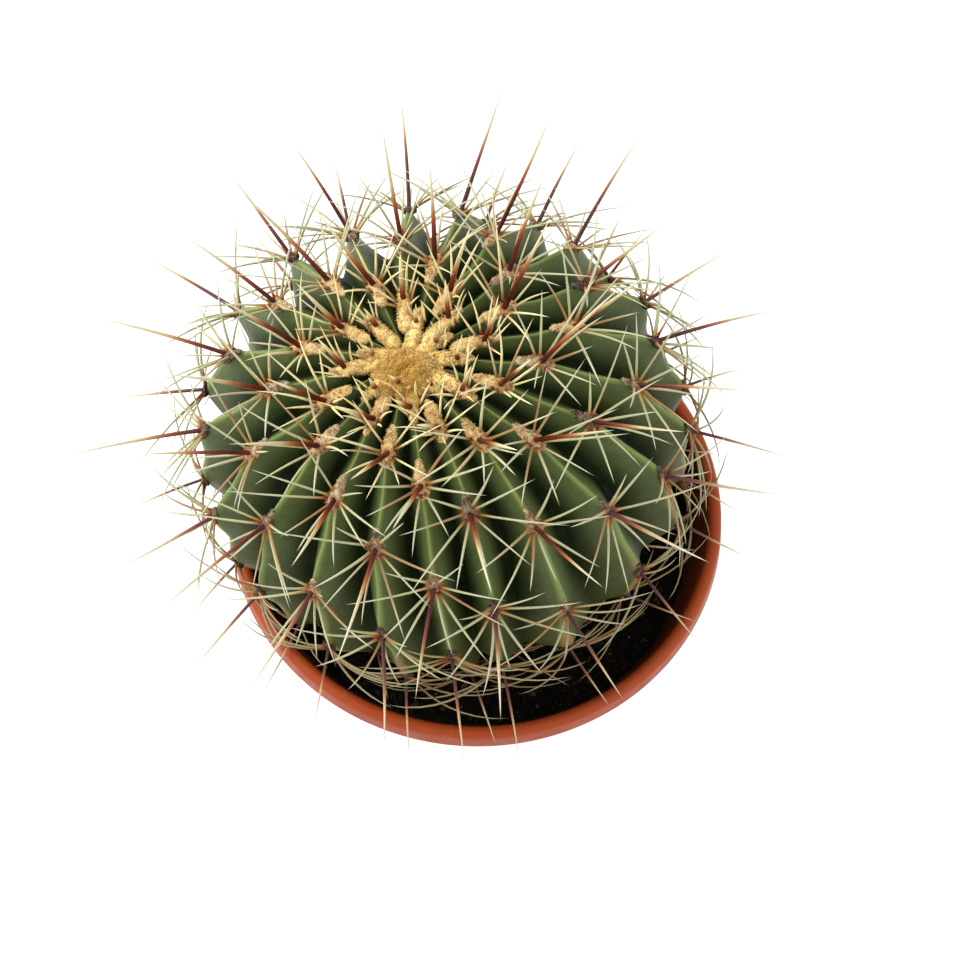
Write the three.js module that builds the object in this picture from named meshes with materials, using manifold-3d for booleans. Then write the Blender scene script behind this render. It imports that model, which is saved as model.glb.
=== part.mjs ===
// Potted barrel cactus: a many-ribbed green globe with straw-coloured spines
// and a woolly crown, growing in dark soil in a shallow terracotta-coloured bowl.
// Millimetres, +Z up. The origin is the middle of the bowl's flat base.
import * as THREE from "three";
import { mergeVertices } from "three/addons/utils/BufferGeometryUtils.js";
import Module from "manifold-3d";

const wasm = await Module();
wasm.setup();

// ---------------------------------------------------------------- dimensions

const GAP = 0.3; // clearance kept between pieces that touch

const BOWL = {
  height: 85,
  rimRadius: 100,
  lipRadius: 94, // inner edge of the rolled rim
  bandHeight: 9,
  bandDraft: 0.6, // the band's face leans in by this much
  bandBevel: 0.8,
  neckRadius: 93.5, // wall just under the rim band
  baseRadius: 65,
  wallSwell: 2.5, // how far the wall bellies out halfway up
  wall: 2.4,
  floor: 3,
  edgeRound: 4,
  edgeSteps: 2,
  rollSteps: 4,
  wallSteps: 3,
  segments: 44,
  drainHoles: 6,
  drainRadius: 4,
  drainCircle: 38,
  drainSegments: 12,
};

const SOIL = {
  top: 65,
  hollowDepth: 16, // of the plain hole that the plant's neck stands in
  hollowTaper: 0.8, // bottom radius of the hollow as a share of the top radius
  roughness: 2.4, // how far the surface dips between crumbs
  levelRadius: 66,
  wallGap: 0.7,
  sideSteps: 3,
  segments: 44,
  rings: 4,
};

const PLANT = {
  ribs: 21,
  girth: 90.2, // radius at the widest place, on the crests
  rise: 81, // from the widest place to the crown
  drop: 76, // from the widest place down
  upperFullness: 2.58, // exponents of the two halves of the outline
  lowerFullness: 2.08,
  grooveShare: 0.2, // groove depth as a share of the radius there
  lowGrooveShare: 0.08, // the same near the soil, where the old grooves have filled out
  grooveFades: { from: 1.15, until: 1.85 }, // radians from the crown
  flatShare: 0.25, // part of the depth that grows evenly from crest to groove
  crestSharpness: 1.5, // exponent of the rest
  ovality: 0.034,
  centre: [-12, 2.3, 129.8],
  leanX: 4.3, // degrees, towards the front
  leanY: -9.7, // degrees, towards the left
  firstRib: -70.6, // degrees
  ribDrift: -4.2, // degrees, most where a rib faces forwards or back
  crowding: { amount: -9.3, azimuth: -63, width: 22, from: 0.5, until: 1.6 },
  swelling: 1.6, // of the crest at each areole
  smoothCrown: 15, // radius within which the crests don't swell
  rings: 19,
  columnsPerRib: 4,
  lowestRing: 2.72,
  neckRadius: 50,
  neckOverSoil: 12, // how far the neck reaches up into the body
  neckSegments: 24,
};

// Areoles are numbered from the crown outwards. Each sits 8/21 of a turn round
// from the last, so every rib carries each twenty-first one.
const AREOLES = {
  turnSteps: 8,
  youngestInWool: -16,
  youngestOnRibs: -8,
  oldest: 115,
  angleFromCrown: 0.353,
  angleStep: 0.01555,
  angleGrowth: 0.000079,
  soilClearance: 5,
};

// Woolly cushions of the young areoles, on the ribs next to the crown.
const CUSHION = { length: 7, width: 4, thickness: 4, sink: 0.4, oldest: 10 };

// Angles in degrees. A spread is the most that one spine differs from the next.
const SPINES = {
  radialLength: 29,
  radialLengthSpread: 0.14, // as a share of the length
  radialRadius: 0.85,
  centralLength: 45,
  centralLengthSpread: 0.16,
  centralRadius: 1.1,
  centralLean: 22, // down the rib, from straight out
  centralLeanSpread: 6,
  centralSwingSpread: 13, // to either side
  radialRise: 27, // out from the surface
  radialRiseSpread: 7,
  youngRise: 30, // added on the youngest areoles
  root: 4, // how far below the crest a spine starts
  clearance: 1.4, // kept from the bowl and the soil
  testStep: 1.5, // between the points of a spine that are tested for it
  liftStep: 0.12,
  liftSteps: 5,
  shorterShares: [1, 0.75, 0.55],
  fanStep: 33, // between neighbouring radials
  fanSpread: 8,
  fanCount: 9,
  upperShare: 0.62, // length of the two uppermost radials as a share of the rest
  fullGrownFrom: 8, // areole number
  sproutFrom: -18, // areole number
  sproutShare: 0.25, // smallest length as a share of the full one
  fanOpensFrom: 4, // younger areoles have no radials that lean back over the wool
};

const WOOL = {
  notchAngle: 0.175, // from the crown to the notches of its edge, in radians
  lobeAngle: 0.26, // from the crown to the ends of its longest lobes
  lobeClearance: 0.08, // short of the first areole that stands clear on a rib
  thickness: 4,
  edgeThickness: 0.9,
  loftFullness: 2.5, // exponent: the loft stays thick until near the edge
  lump: 0.4,
  columnsPerRib: 3,
  rings: 3,
  lift: 0.35, // clearance over the crests
  rootHeight: 0.6, // of its spines' roots over its underside
};

// ------------------------------------------------------------------- solids

const degrees = (angle) => (angle * Math.PI) / 180;

// A repeatable draw from 0 to 1 for item i of group k.
function draw(k, i) {
  const value = Math.sin(k * 12.9898 + i * 78.233) * 43758.5453;
  return value - Math.floor(value);
}

const spread = (k, i) => 2 * draw(k, i) - 1;

function solidFrom(geometry) {
  const bare = geometry.index ? geometry.toNonIndexed() : geometry.clone();
  for (const name of Object.keys(bare.attributes)) {
    if (name !== "position") bare.deleteAttribute(name);
  }
  const merged = mergeVertices(bare, 1e-4);
  return new wasm.Manifold(
    new wasm.Mesh({
      numProp: 3,
      vertProperties: merged.attributes.position.array,
      triVerts: new Uint32Array(merged.index.array),
    }),
  );
}

function geometryFrom(solid) {
  const mesh = solid.getMesh();
  const geometry = new THREE.BufferGeometry();
  geometry.setAttribute("position", new THREE.BufferAttribute(mesh.vertProperties, 3));
  geometry.setIndex(new THREE.BufferAttribute(mesh.triVerts, 1));
  const faceted = geometry.toNonIndexed();
  faceted.computeVertexNormals();
  return faceted;
}

// Joins many solids pairwise, so that each step works on few triangles.
function fuse(solids) {
  let row = solids;
  while (row.length > 1) {
    const next = [];
    for (let i = 0; i < row.length; i += 2) {
      next.push(i + 1 < row.length ? row[i].add(row[i + 1]) : row[i]);
    }
    row = next;
  }
  return row[0];
}

function namedMesh(name, geometry, colour, roughness) {
  const material = new THREE.MeshStandardMaterial({
    color: colour,
    roughness,
    metalness: 0,
  });
  const mesh = new THREE.Mesh(geometry, material);
  mesh.name = name;
  return mesh;
}

// A lathe whose outline is given as [radius, height] pairs, turned about +Z.
function turned(outline, segments) {
  const points = outline.map(([radius, height]) => new THREE.Vector2(radius, height));
  return new THREE.LatheGeometry(points, segments).rotateX(Math.PI / 2);
}

// Closed surface over rings of points, each ring with the same count, capped by
// a point at the start and at the end.
function ringSurface(first, rings, last) {
  const count = rings[0].length;
  const points = [first, ...rings.flat(), last];
  const index = [];
  const at = (ring, column) => 1 + ring * count + (column % count);
  for (let column = 0; column < count; column += 1) {
    index.push(0, at(0, column), at(0, column + 1));
    for (let ring = 0; ring + 1 < rings.length; ring += 1) {
      const [a, b] = [at(ring, column), at(ring, column + 1)];
      const [c, d] = [at(ring + 1, column), at(ring + 1, column + 1)];
      index.push(a, c, b, b, c, d);
    }
    const end = rings.length - 1;
    index.push(at(end, column), points.length - 1, at(end, column + 1));
  }
  const geometry = new THREE.BufferGeometry();
  geometry.setAttribute(
    "position",
    new THREE.Float32BufferAttribute(points.flatMap((p) => [p.x, p.y, p.z]), 3),
  );
  geometry.setIndex(index);
  return geometry;
}

// --------------------------------------------------------------------- bowl

function arc(centreRadius, centreHeight, radius, from, to, steps) {
  const points = [];
  for (let i = 0; i <= steps; i += 1) {
    const angle = degrees(from + ((to - from) * i) / steps);
    points.push([
      centreRadius + radius * Math.cos(angle),
      centreHeight + radius * Math.sin(angle),
    ]);
  }
  return points;
}

// Outer wall radius at a height: a cone that swells a little in the middle.
function wallRadius(height) {
  const share = height / (BOWL.height - BOWL.bandHeight);
  const swell = BOWL.wallSwell * Math.sin(Math.PI * Math.min(share, 1));
  return BOWL.baseRadius + (BOWL.neckRadius - BOWL.baseRadius) * share + swell;
}

const innerRadius = (height) => wallRadius(height) - BOWL.wall;

function bowlOutline() {
  const bandFoot = BOWL.height - BOWL.bandHeight;
  const roll = (BOWL.rimRadius - BOWL.bandDraft - BOWL.lipRadius) / 2;
  const rollRadius = BOWL.lipRadius + roll;
  const outside = [];
  const inside = [];
  for (let i = 1; i <= BOWL.wallSteps; i += 1) {
    const height = BOWL.edgeRound + ((bandFoot - BOWL.edgeRound) * i) / BOWL.wallSteps;
    outside.push([wallRadius(height), height]);
  }
  for (let i = BOWL.wallSteps; i >= 0; i -= 1) {
    const low = BOWL.floor + BOWL.edgeRound;
    const height = low + ((bandFoot - low) * i) / BOWL.wallSteps;
    inside.push([innerRadius(height), height]);
  }
  const foot = wallRadius(BOWL.edgeRound) - BOWL.edgeRound;
  const innerCorner = BOWL.floor + BOWL.edgeRound;
  const innerFoot = innerRadius(innerCorner) - BOWL.edgeRound;
  return [
    [0, 0],
    ...arc(foot, BOWL.edgeRound, BOWL.edgeRound, -90, 0, BOWL.edgeSteps),
    ...outside,
    [BOWL.rimRadius - BOWL.bandDraft, bandFoot],
    [BOWL.rimRadius, bandFoot + BOWL.bandBevel],
    ...arc(rollRadius, BOWL.height - roll, roll, 0, 180, BOWL.rollSteps),
    ...inside,
    ...arc(innerFoot, innerCorner, BOWL.edgeRound, 0, -90, BOWL.edgeSteps).slice(1),
    [0, BOWL.floor],
  ];
}

function drainHole(angle) {
  const { drainRadius, drainCircle, drainSegments, floor } = BOWL;
  const hole = new THREE.CylinderGeometry(drainRadius, drainRadius, 4 * floor, drainSegments);
  hole.rotateX(Math.PI / 2);
  hole.translate(drainCircle * Math.cos(angle), drainCircle * Math.sin(angle), 0);
  return solidFrom(hole);
}

function makeBowl() {
  let bowl = solidFrom(turned(bowlOutline(), BOWL.segments));
  for (let i = 0; i < BOWL.drainHoles; i += 1) {
    bowl = bowl.subtract(drainHole((2 * Math.PI * i) / BOWL.drainHoles));
  }
  return namedMesh("pot", geometryFrom(bowl), 0xb4532f, 0.5);
}

// --------------------------------------------------------------- plant shape

const PLANT_TILT = new THREE.Matrix4()
  .makeRotationY(degrees(PLANT.leanY))
  .multiply(new THREE.Matrix4().makeRotationX(degrees(PLANT.leanX)))
  .setPosition(...PLANT.centre);

// Crest outline in the plant's own frame: radius and height at an angle t from
// the crown, measured at the plant's centre.
function crestOutline(t) {
  const up = Math.cos(t) > 0;
  const power = up ? PLANT.upperFullness : PLANT.lowerFullness;
  const reach = up ? PLANT.rise : PLANT.drop;
  const sum =
    Math.abs(Math.cos(t) / reach) ** power + Math.abs(Math.sin(t) / PLANT.girth) ** power;
  const distance = sum ** (-1 / power);
  return { radius: distance * Math.sin(t), height: distance * Math.cos(t) };
}

// Outward normal of the crest outline, from two points close beside it.
function crestNormal(t) {
  const before = crestOutline(t - 0.01);
  const after = crestOutline(t + 0.01);
  const across = after.radius - before.radius;
  const down = before.height - after.height;
  const size = Math.hypot(across, down);
  return { radius: down / size, height: across / size };
}

// Azimuth of a place on rib number rib (whole numbers are crests), in radians.
// The ribs drift a little, and crowd together low down on one side.
function azimuthOf(rib, t) {
  const even = PLANT.firstRib + (rib * 360) / PLANT.ribs;
  const aside = ((((even - PLANT.crowding.azimuth + 180) % 360) + 360) % 360) - 180;
  const { amount, width, from, until } = PLANT.crowding;
  const depth = Math.min(Math.max(t, from), until) - from;
  const crowd = amount * Math.exp(-((aside / width) ** 2)) * depth;
  const drift = PLANT.ribDrift * Math.sin(degrees(even));
  return { even: degrees(even), turned: degrees(even + drift + crowd) };
}

function areoleAngle(k) {
  return AREOLES.angleFromCrown + AREOLES.angleStep * k + AREOLES.angleGrowth * k * k;
}

// How many areoles out from the crown an angle lies, as a fraction.
function areoleCountAt(t) {
  const { angleFromCrown, angleStep, angleGrowth } = AREOLES;
  const under = angleStep ** 2 - 4 * angleGrowth * (angleFromCrown - t);
  return (-angleStep + Math.sqrt(Math.max(under, 0))) / (2 * angleGrowth);
}

const ribOf = (k) => (((AREOLES.turnSteps * k) % PLANT.ribs) + PLANT.ribs) % PLANT.ribs;

// The whole areole numbers on a rib are one residue; 8 * 8 = 64 = 1 mod 21.
const residueOf = (rib) => (AREOLES.turnSteps * Math.round(rib)) % PLANT.ribs;

// Share of the groove depth reached between a crest (0) and a groove (0.5).
function flankShare(aside) {
  const share = 2 * Math.abs(aside);
  const rounded = 1 - (1 - share) ** PLANT.crestSharpness;
  return PLANT.flatShare * share + (1 - PLANT.flatShare) * rounded;
}

// A point lifted over the smooth surface that the crests would make without ribs.
function crownPoint(rib, t, lift) {
  const crest = crestOutline(t);
  const normal = crestNormal(t);
  const azimuth = azimuthOf(rib, t);
  const oval = 1 + PLANT.ovality * Math.cos(2 * azimuth.even);
  const radius = (crest.radius + lift * normal.radius) * oval;
  const height = crest.height + lift * normal.height;
  return new THREE.Vector3(
    radius * Math.cos(azimuth.turned),
    radius * Math.sin(azimuth.turned),
    height,
  ).applyMatrix4(PLANT_TILT);
}

// Groove depth as a share of the radius, at an angle from the crown.
function grooveShareAt(t) {
  const { from, until } = PLANT.grooveFades;
  const fade = THREE.MathUtils.smoothstep(t, from, until);
  return THREE.MathUtils.lerp(PLANT.grooveShare, PLANT.lowGrooveShare, fade);
}

// A point of the plant's surface, with its grooves and the swellings at its areoles.
function plantPoint(rib, t) {
  const radius = crestOutline(t).radius;
  const aside = rib - Math.round(rib);
  const phase = (2 * Math.PI * (areoleCountAt(t) - residueOf(rib))) / PLANT.ribs;
  const past = (radius - PLANT.smoothCrown) / (2 * PLANT.smoothCrown);
  const fade = Math.min(Math.max(past, 0), 1);
  const swell = PLANT.swelling * fade * Math.cos(phase) * (1 - 2 * Math.abs(aside));
  const sink = grooveShareAt(t) * radius * flankShare(aside);
  return crownPoint(rib, t, swell - sink);
}

// Place and directions at a crest: out from the surface, down the rib, and aside.
function crestFrame(rib, t) {
  const point = plantPoint(rib, t);
  const down = plantPoint(rib, t + 0.03).sub(plantPoint(rib, t - 0.03)).normalize();
  const aside = plantPoint(rib + 1, t).sub(plantPoint(rib - 1, t));
  aside.addScaledVector(down, -aside.dot(down)).normalize();
  const out = new THREE.Vector3().crossVectors(aside, down).normalize();
  const middle = new THREE.Vector3().setFromMatrixPosition(PLANT_TILT);
  if (out.dot(point.clone().sub(middle)) < 0) out.negate();
  return { point, out, down, aside };
}

// ------------------------------------------------------------------- spines

// True where a point would run into the soil, the bowl's wall or its rim.
function blocked(point) {
  const reach = Math.hypot(point.x, point.y);
  const bandFoot = BOWL.height - BOWL.bandHeight;
  const wallFace = point.z < bandFoot ? innerRadius(point.z) : BOWL.lipRadius;
  const overRim = point.z > BOWL.height + SPINES.clearance;
  if (reach > BOWL.rimRadius + SPINES.clearance || overRim) return false;
  return point.z < SOIL.top + SPINES.clearance || reach > wallFace - SPINES.clearance;
}

function isClear(root, direction, length) {
  for (let along = 0; along < length + 1; along += SPINES.testStep) {
    if (blocked(root.clone().addScaledVector(direction, along))) return false;
  }
  return true;
}

// Lifts a spine in small steps until it clears the bowl and the soil. Where that
// is not enough it is a shorter one, and where that fails too there is none.
function clearedSpine(root, direction, length) {
  for (const share of SPINES.shorterShares) {
    const tried = direction.clone();
    for (let step = 0; step <= SPINES.liftSteps; step += 1) {
      if (isClear(root, tried, length * share)) {
        return { direction: tried, length: length * share };
      }
      tried.z += SPINES.liftStep;
      tried.normalize();
    }
  }
  return null;
}

// Share of its full length that a spine of areole k has.
function growthOf(k) {
  const { sproutFrom, fullGrownFrom, sproutShare } = SPINES;
  return Math.min(Math.max((k - sproutFrom) / (fullGrownFrom - sproutFrom), sproutShare), 1);
}

// A direction in an areole's frame, from its parts out, down the rib and aside.
function directionIn(frame, out, down, aside) {
  return frame.out
    .clone()
    .multiplyScalar(out)
    .addScaledVector(frame.down, down)
    .addScaledVector(frame.aside, aside);
}

function centralOf(k, frame, growth) {
  const lean = degrees(SPINES.centralLean * growth + SPINES.centralLeanSpread * spread(k, 1));
  const swing = degrees(SPINES.centralSwingSpread * spread(k, 2));
  const vary = 1 + SPINES.centralLengthSpread * spread(k, 3);
  return {
    slot: "central",
    frame,
    radius: SPINES.centralRadius,
    length: SPINES.centralLength * growth * vary,
    direction: directionIn(
      frame,
      Math.cos(lean) * Math.cos(swing),
      Math.sin(lean) * Math.cos(swing),
      Math.sin(swing),
    ),
  };
}

// Radial i of areole k. Its place counts from the middle one, which points down.
function radialOf(k, i, frame, growth) {
  const outermost = (SPINES.fanCount - 1) / 2;
  const place = i - outermost;
  const angle = degrees(SPINES.fanStep * place + SPINES.fanSpread * spread(k, 10 + i));
  const young = SPINES.youngRise * (1 - growth);
  const rise = degrees(SPINES.radialRise + SPINES.radialRiseSpread * spread(k, 30 + i) + young);
  const share = Math.abs(place) === outermost ? SPINES.upperShare : 1;
  const vary = 1 + SPINES.radialLengthSpread * spread(k, 50 + i);
  return {
    slot: place,
    frame,
    radius: SPINES.radialRadius,
    length: SPINES.radialLength * growth * share * vary,
    direction: directionIn(
      frame,
      Math.sin(rise),
      Math.cos(rise) * Math.cos(angle),
      Math.cos(rise) * Math.sin(angle),
    ),
  };
}

// All spines of areole k: one central and a fan of radials.
function spinesOf(k) {
  const frame = crestFrame(ribOf(k), areoleAngle(k));
  const growth = growthOf(k);
  const spines = [centralOf(k, frame, growth)];
  for (let i = 0; i < SPINES.fanCount; i += 1) {
    spines.push(radialOf(k, i, frame, growth));
  }
  return spines;
}

function needle(root, direction, length, radius) {
  const cone = new THREE.ConeGeometry(radius, length, 3, 1);
  cone.translate(0, length / 2, 0);
  const turn = new THREE.Quaternion().setFromUnitVectors(
    new THREE.Vector3(0, 1, 0),
    direction.clone().normalize(),
  );
  cone.applyQuaternion(turn);
  cone.translate(root.x, root.y, root.z);
  return solidFrom(cone);
}

// Four radials of each fan are made: the odd places of one areole and the even
// places of the next, with its two short upper spines taken in turn.
function isKept(k, slot) {
  if (slot === "central") return true;
  if (k < SPINES.fanOpensFrom && Math.abs(slot) > 2) return false;
  if (k % 2 === 0) return slot % 2 !== 0;
  const shortSide = k % 4 === 1 || k % 4 === -3 ? 4 : -4;
  return slot === 0 || Math.abs(slot) === 2 || slot === shortSide;
}

function needlesOf(k) {
  const needles = [];
  for (const spine of spinesOf(k)) {
    if (!isKept(k, spine.slot)) continue;
    const root = spine.frame.point.clone().addScaledVector(spine.frame.out, -SPINES.root);
    const clear = clearedSpine(root, spine.direction, spine.length + SPINES.root);
    if (clear) needles.push(needle(root, clear.direction, clear.length, spine.radius));
  }
  return needles;
}

// -------------------------------------------------------------------- plant

function cushionOf(k) {
  const frame = crestFrame(ribOf(k), areoleAngle(k));
  const cushion = new THREE.OctahedronGeometry(0.5, 0);
  cushion.scale(CUSHION.width, CUSHION.thickness, CUSHION.length);
  const across = new THREE.Vector3().crossVectors(frame.out, frame.down);
  cushion.applyMatrix4(new THREE.Matrix4().makeBasis(across, frame.out, frame.down));
  const place = frame.point.clone().addScaledVector(frame.out, -CUSHION.sink);
  cushion.translate(place.x, place.y, place.z);
  return solidFrom(cushion);
}

function bodyGeometry() {
  const rings = [];
  for (let i = 1; i <= PLANT.rings; i += 1) {
    const t = (PLANT.lowestRing * i) / PLANT.rings;
    const ring = [];
    for (let column = 0; column < PLANT.ribs * PLANT.columnsPerRib; column += 1) {
      ring.push(plantPoint(column / PLANT.columnsPerRib, t));
    }
    rings.push(ring);
  }
  const crown = new THREE.Vector3(0, 0, PLANT.rise).applyMatrix4(PLANT_TILT);
  const foot = new THREE.Vector3(0, 0, -PLANT.drop).applyMatrix4(PLANT_TILT);
  return ringSurface(crown, rings, foot);
}

// Middle of the plant at soil level.
function neckCentre() {
  const axis = new THREE.Vector3(0, 0, 1).transformDirection(PLANT_TILT);
  const middle = new THREE.Vector3().setFromMatrixPosition(PLANT_TILT);
  const along = (SOIL.top - middle.z) / axis.z;
  return middle.addScaledVector(axis, along);
}

// The plain neck that stands in the soil, or the hollow for it when grown by a gap.
function neckSolid(grow) {
  const height = SOIL.hollowDepth + PLANT.neckOverSoil;
  const top = PLANT.neckRadius + grow;
  const low = top * SOIL.hollowTaper;
  const shape = new THREE.CylinderGeometry(top, low, height, PLANT.neckSegments);
  shape.rotateX(Math.PI / 2);
  const centre = neckCentre();
  const bottom = SOIL.top - SOIL.hollowDepth - grow;
  shape.translate(centre.x, centre.y, bottom + height / 2);
  return solidFrom(shape);
}

// A box over the soil that is larger than the plant.
function aboveSoil() {
  const side = 6 * PLANT.girth;
  const box = new THREE.BoxGeometry(side, side, side);
  box.translate(0, 0, SOIL.top + GAP + side / 2);
  return solidFrom(box);
}

function makeCactus() {
  const body = solidFrom(bodyGeometry()).intersect(aboveSoil());
  const growth = [];
  for (let k = AREOLES.youngestOnRibs; k <= AREOLES.oldest; k += 1) {
    const height = plantPoint(ribOf(k), areoleAngle(k)).z;
    if (height < SOIL.top + AREOLES.soilClearance) continue;
    if (k <= CUSHION.oldest) growth.push(cushionOf(k));
    growth.push(...needlesOf(k));
  }
  const plant = fuse([body, neckSolid(0), ...growth]);
  return namedMesh("cactus", geometryFrom(plant), 0x3c5a35, 0.6);
}

// --------------------------------------------------------------- crown wool

// The areole nearest to the crown that stands clear of the wool on a rib.
function firstAreoleOn(rib) {
  const residue = residueOf(rib);
  const wraps = residue >= PLANT.ribs + AREOLES.youngestOnRibs;
  return wraps ? residue - PLANT.ribs : residue;
}

function woolEdge(rib) {
  const crest = Math.round(rib) % PLANT.ribs;
  const free = areoleAngle(firstAreoleOn(crest)) - WOOL.lobeClearance;
  const lobe = 0.5 + 0.5 * Math.cos(2 * Math.PI * rib);
  return WOOL.notchAngle + lobe * (Math.min(free, WOOL.lobeAngle) - WOOL.notchAngle);
}

function woolRing(share, liftAt) {
  const ring = [];
  for (let column = 0; column < PLANT.ribs * WOOL.columnsPerRib; column += 1) {
    const rib = column / WOOL.columnsPerRib;
    ring.push(crownPoint(rib, woolEdge(rib) * share, liftAt(column)));
  }
  return ring;
}

function woolGeometry() {
  const over = [];
  const under = [];
  for (let i = 1; i <= WOOL.rings; i += 1) {
    const share = i / WOOL.rings;
    const loft = WOOL.edgeThickness + WOOL.thickness * (1 - share ** WOOL.loftFullness);
    over.push(woolRing(share, (column) => WOOL.lift + loft + WOOL.lump * spread(column, i)));
    under.unshift(woolRing(share, () => WOOL.lift));
  }
  const crown = crownPoint(0, 0, WOOL.lift + WOOL.thickness + WOOL.edgeThickness);
  const foot = crownPoint(0, 0, WOOL.lift);
  return ringSurface(crown, [...over, ...under], foot);
}

function makeWool() {
  const tufts = [];
  for (let k = AREOLES.youngestInWool; k < AREOLES.youngestOnRibs; k += 1) {
    for (const spine of spinesOf(k)) {
      if (!isKept(k, spine.slot)) continue;
      const { point, out } = spine.frame;
      const root = point.clone().addScaledVector(out, WOOL.lift + WOOL.rootHeight);
      tufts.push(needle(root, spine.direction, spine.length, spine.radius));
    }
  }
  const wool = fuse([solidFrom(woolGeometry()), ...tufts]);
  return namedMesh("crown_wool", geometryFrom(wool), 0xc9a45c, 0.95);
}

// --------------------------------------------------------------------- soil

function soilRing(radius, heightAt) {
  const points = [];
  for (let i = 0; i < SOIL.segments; i += 1) {
    const angle = (2 * Math.PI * i) / SOIL.segments;
    points.push(
      new THREE.Vector3(radius * Math.cos(angle), radius * Math.sin(angle), heightAt(i)),
    );
  }
  return points;
}

function soilGeometry() {
  const edge = innerRadius(SOIL.top - SOIL.roughness) - SOIL.wallGap;
  const rings = [soilRing(SOIL.levelRadius, () => SOIL.top)];
  for (let row = 1; row <= SOIL.rings; row += 1) {
    const radius = SOIL.levelRadius + ((edge - SOIL.levelRadius) * row) / SOIL.rings;
    rings.push(soilRing(radius, (column) => SOIL.top - SOIL.roughness * draw(column, row)));
  }
  const low = BOWL.floor + BOWL.edgeRound;
  for (let row = SOIL.sideSteps - 1; row >= 0; row -= 1) {
    const height = low + ((SOIL.top - low) * row) / SOIL.sideSteps;
    rings.push(soilRing(innerRadius(height) - SOIL.wallGap, () => height));
  }
  const foot = innerRadius(low) - BOWL.edgeRound - SOIL.wallGap;
  rings.push(soilRing(foot, () => BOWL.floor + GAP));
  const top = new THREE.Vector3(0, 0, SOIL.top);
  return ringSurface(top, rings, new THREE.Vector3(0, 0, BOWL.floor + GAP));
}

function makeSoil() {
  const soil = solidFrom(soilGeometry()).subtract(neckSolid(GAP));
  return namedMesh("soil", geometryFrom(soil), 0x2a211b, 0.95);
}

// ----------------------------------------------------------------- assembly

const pottedCactus = new THREE.Group();
pottedCactus.add(makeBowl(), makeSoil(), makeCactus(), makeWool());
export default pottedCactus;
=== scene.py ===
"""Looks of a potted barrel cactus: ribbed body, areoles, spines, crown wool, soil and bowl.

Lengths are millimetres and angles radians unless a comment says otherwise. Ages run from 0 at
the crown's edge to 1 at the oldest areole. Meshes are made in metres.
"""

from collections import namedtuple
from itertools import combinations
from math import copysign, cos, pi, radians, sin

import bpy
import numpy as np
from mathutils import Matrix, Quaternion, Vector


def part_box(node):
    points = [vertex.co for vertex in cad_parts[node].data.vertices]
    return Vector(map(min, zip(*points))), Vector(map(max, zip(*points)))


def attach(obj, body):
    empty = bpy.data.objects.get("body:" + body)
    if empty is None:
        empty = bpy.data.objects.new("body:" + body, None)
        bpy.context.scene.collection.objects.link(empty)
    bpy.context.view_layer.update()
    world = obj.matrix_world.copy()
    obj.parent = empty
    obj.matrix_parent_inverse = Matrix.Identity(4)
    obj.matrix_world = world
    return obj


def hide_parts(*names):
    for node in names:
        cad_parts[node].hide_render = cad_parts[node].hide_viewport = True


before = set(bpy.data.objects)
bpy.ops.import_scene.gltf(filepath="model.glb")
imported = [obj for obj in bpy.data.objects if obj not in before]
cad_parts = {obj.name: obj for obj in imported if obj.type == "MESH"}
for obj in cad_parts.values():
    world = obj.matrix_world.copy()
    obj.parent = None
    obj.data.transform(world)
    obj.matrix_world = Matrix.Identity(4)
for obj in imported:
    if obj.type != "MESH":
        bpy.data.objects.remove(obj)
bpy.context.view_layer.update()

MM = 0.001  # in metres

# ---- sizes from the frame

POT_LOW, POT_HIGH = (np.array(corner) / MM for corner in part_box("pot"))
RIM_RADIUS = (POT_HIGH[0] - POT_LOW[0]) / 2
POT_HEIGHT = POT_HIGH[2]
SOIL_LOW, SOIL_HIGH = (np.array(corner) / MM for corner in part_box("soil"))
SOIL_TOP = SOIL_HIGH[2]
SOIL_FOOT = SOIL_LOW[2]

# ---- bowl, as in the part's source

LIP_RADIUS = 94.0  # inner edge of the rolled rim
BAND_HEIGHT = 9.0
BAND_DRAFT = 0.6
BAND_BEVEL = 0.8
NECK_RADIUS = 93.5
BASE_RADIUS = 65.0
WALL_SWELL = 2.5
WALL = 2.4
FLOOR = 3.0
EDGE_ROUND = 4.0
DRAIN_HOLES = 6
DRAIN_RADIUS = 4.0
DRAIN_CIRCLE = 38.0

# ---- plant, as in the part's source

RIBS = 21
GIRTH = 90.2  # radius of the crests where it is widest
RISE = 81.0  # from there up to the crown
DROP = 76.0  # and down to the foot
UPPER_FULLNESS = 2.58
LOWER_FULLNESS = 2.08
GROOVE_SHARE = 0.2
LOW_GROOVE_SHARE = 0.08
GROOVES_FADE = 1.15, 1.85  # angles from the crown
FLAT_SHARE = 0.25
CREST_SHARPNESS = 1.5
OVALITY = 0.034
CENTRE = (-12.0, 2.3, 129.8)
SWELLING = 1.6  # of the crests at the areoles
SMOOTH_CROWN = 15.0  # radius of the middle that doesn't swell
LOWEST_RING = 2.72

# The plant's lean, and where its ribs stand and draw together, in degrees
LEAN_X = 4.3
LEAN_Y = -9.7
FIRST_RIB = -70.6
RIB_DRIFT = -4.2
CROWD_AMOUNT = -9.3
CROWD_AZIMUTH = -63.0
CROWD_WIDTH = 22.0

# Angles from the crown between which the ribs draw together
CROWD_FROM = 0.5
CROWD_UNTIL = 1.6

# Areoles are numbered along one spiral, from the youngest
TURN_STEPS = 8
YOUNGEST = -16
YOUNGEST_ON_RIBS = -8
OLDEST = 115
ANGLE_FROM_CROWN = 0.353
ANGLE_STEP = 0.01555
ANGLE_GROWTH = 0.000079

RADIAL_LENGTH = 30.0
CENTRAL_LENGTH = 45.0
FAN_COUNT = 9
SPROUT_FROM = -18
FULL_GROWN_FROM = 8

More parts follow.
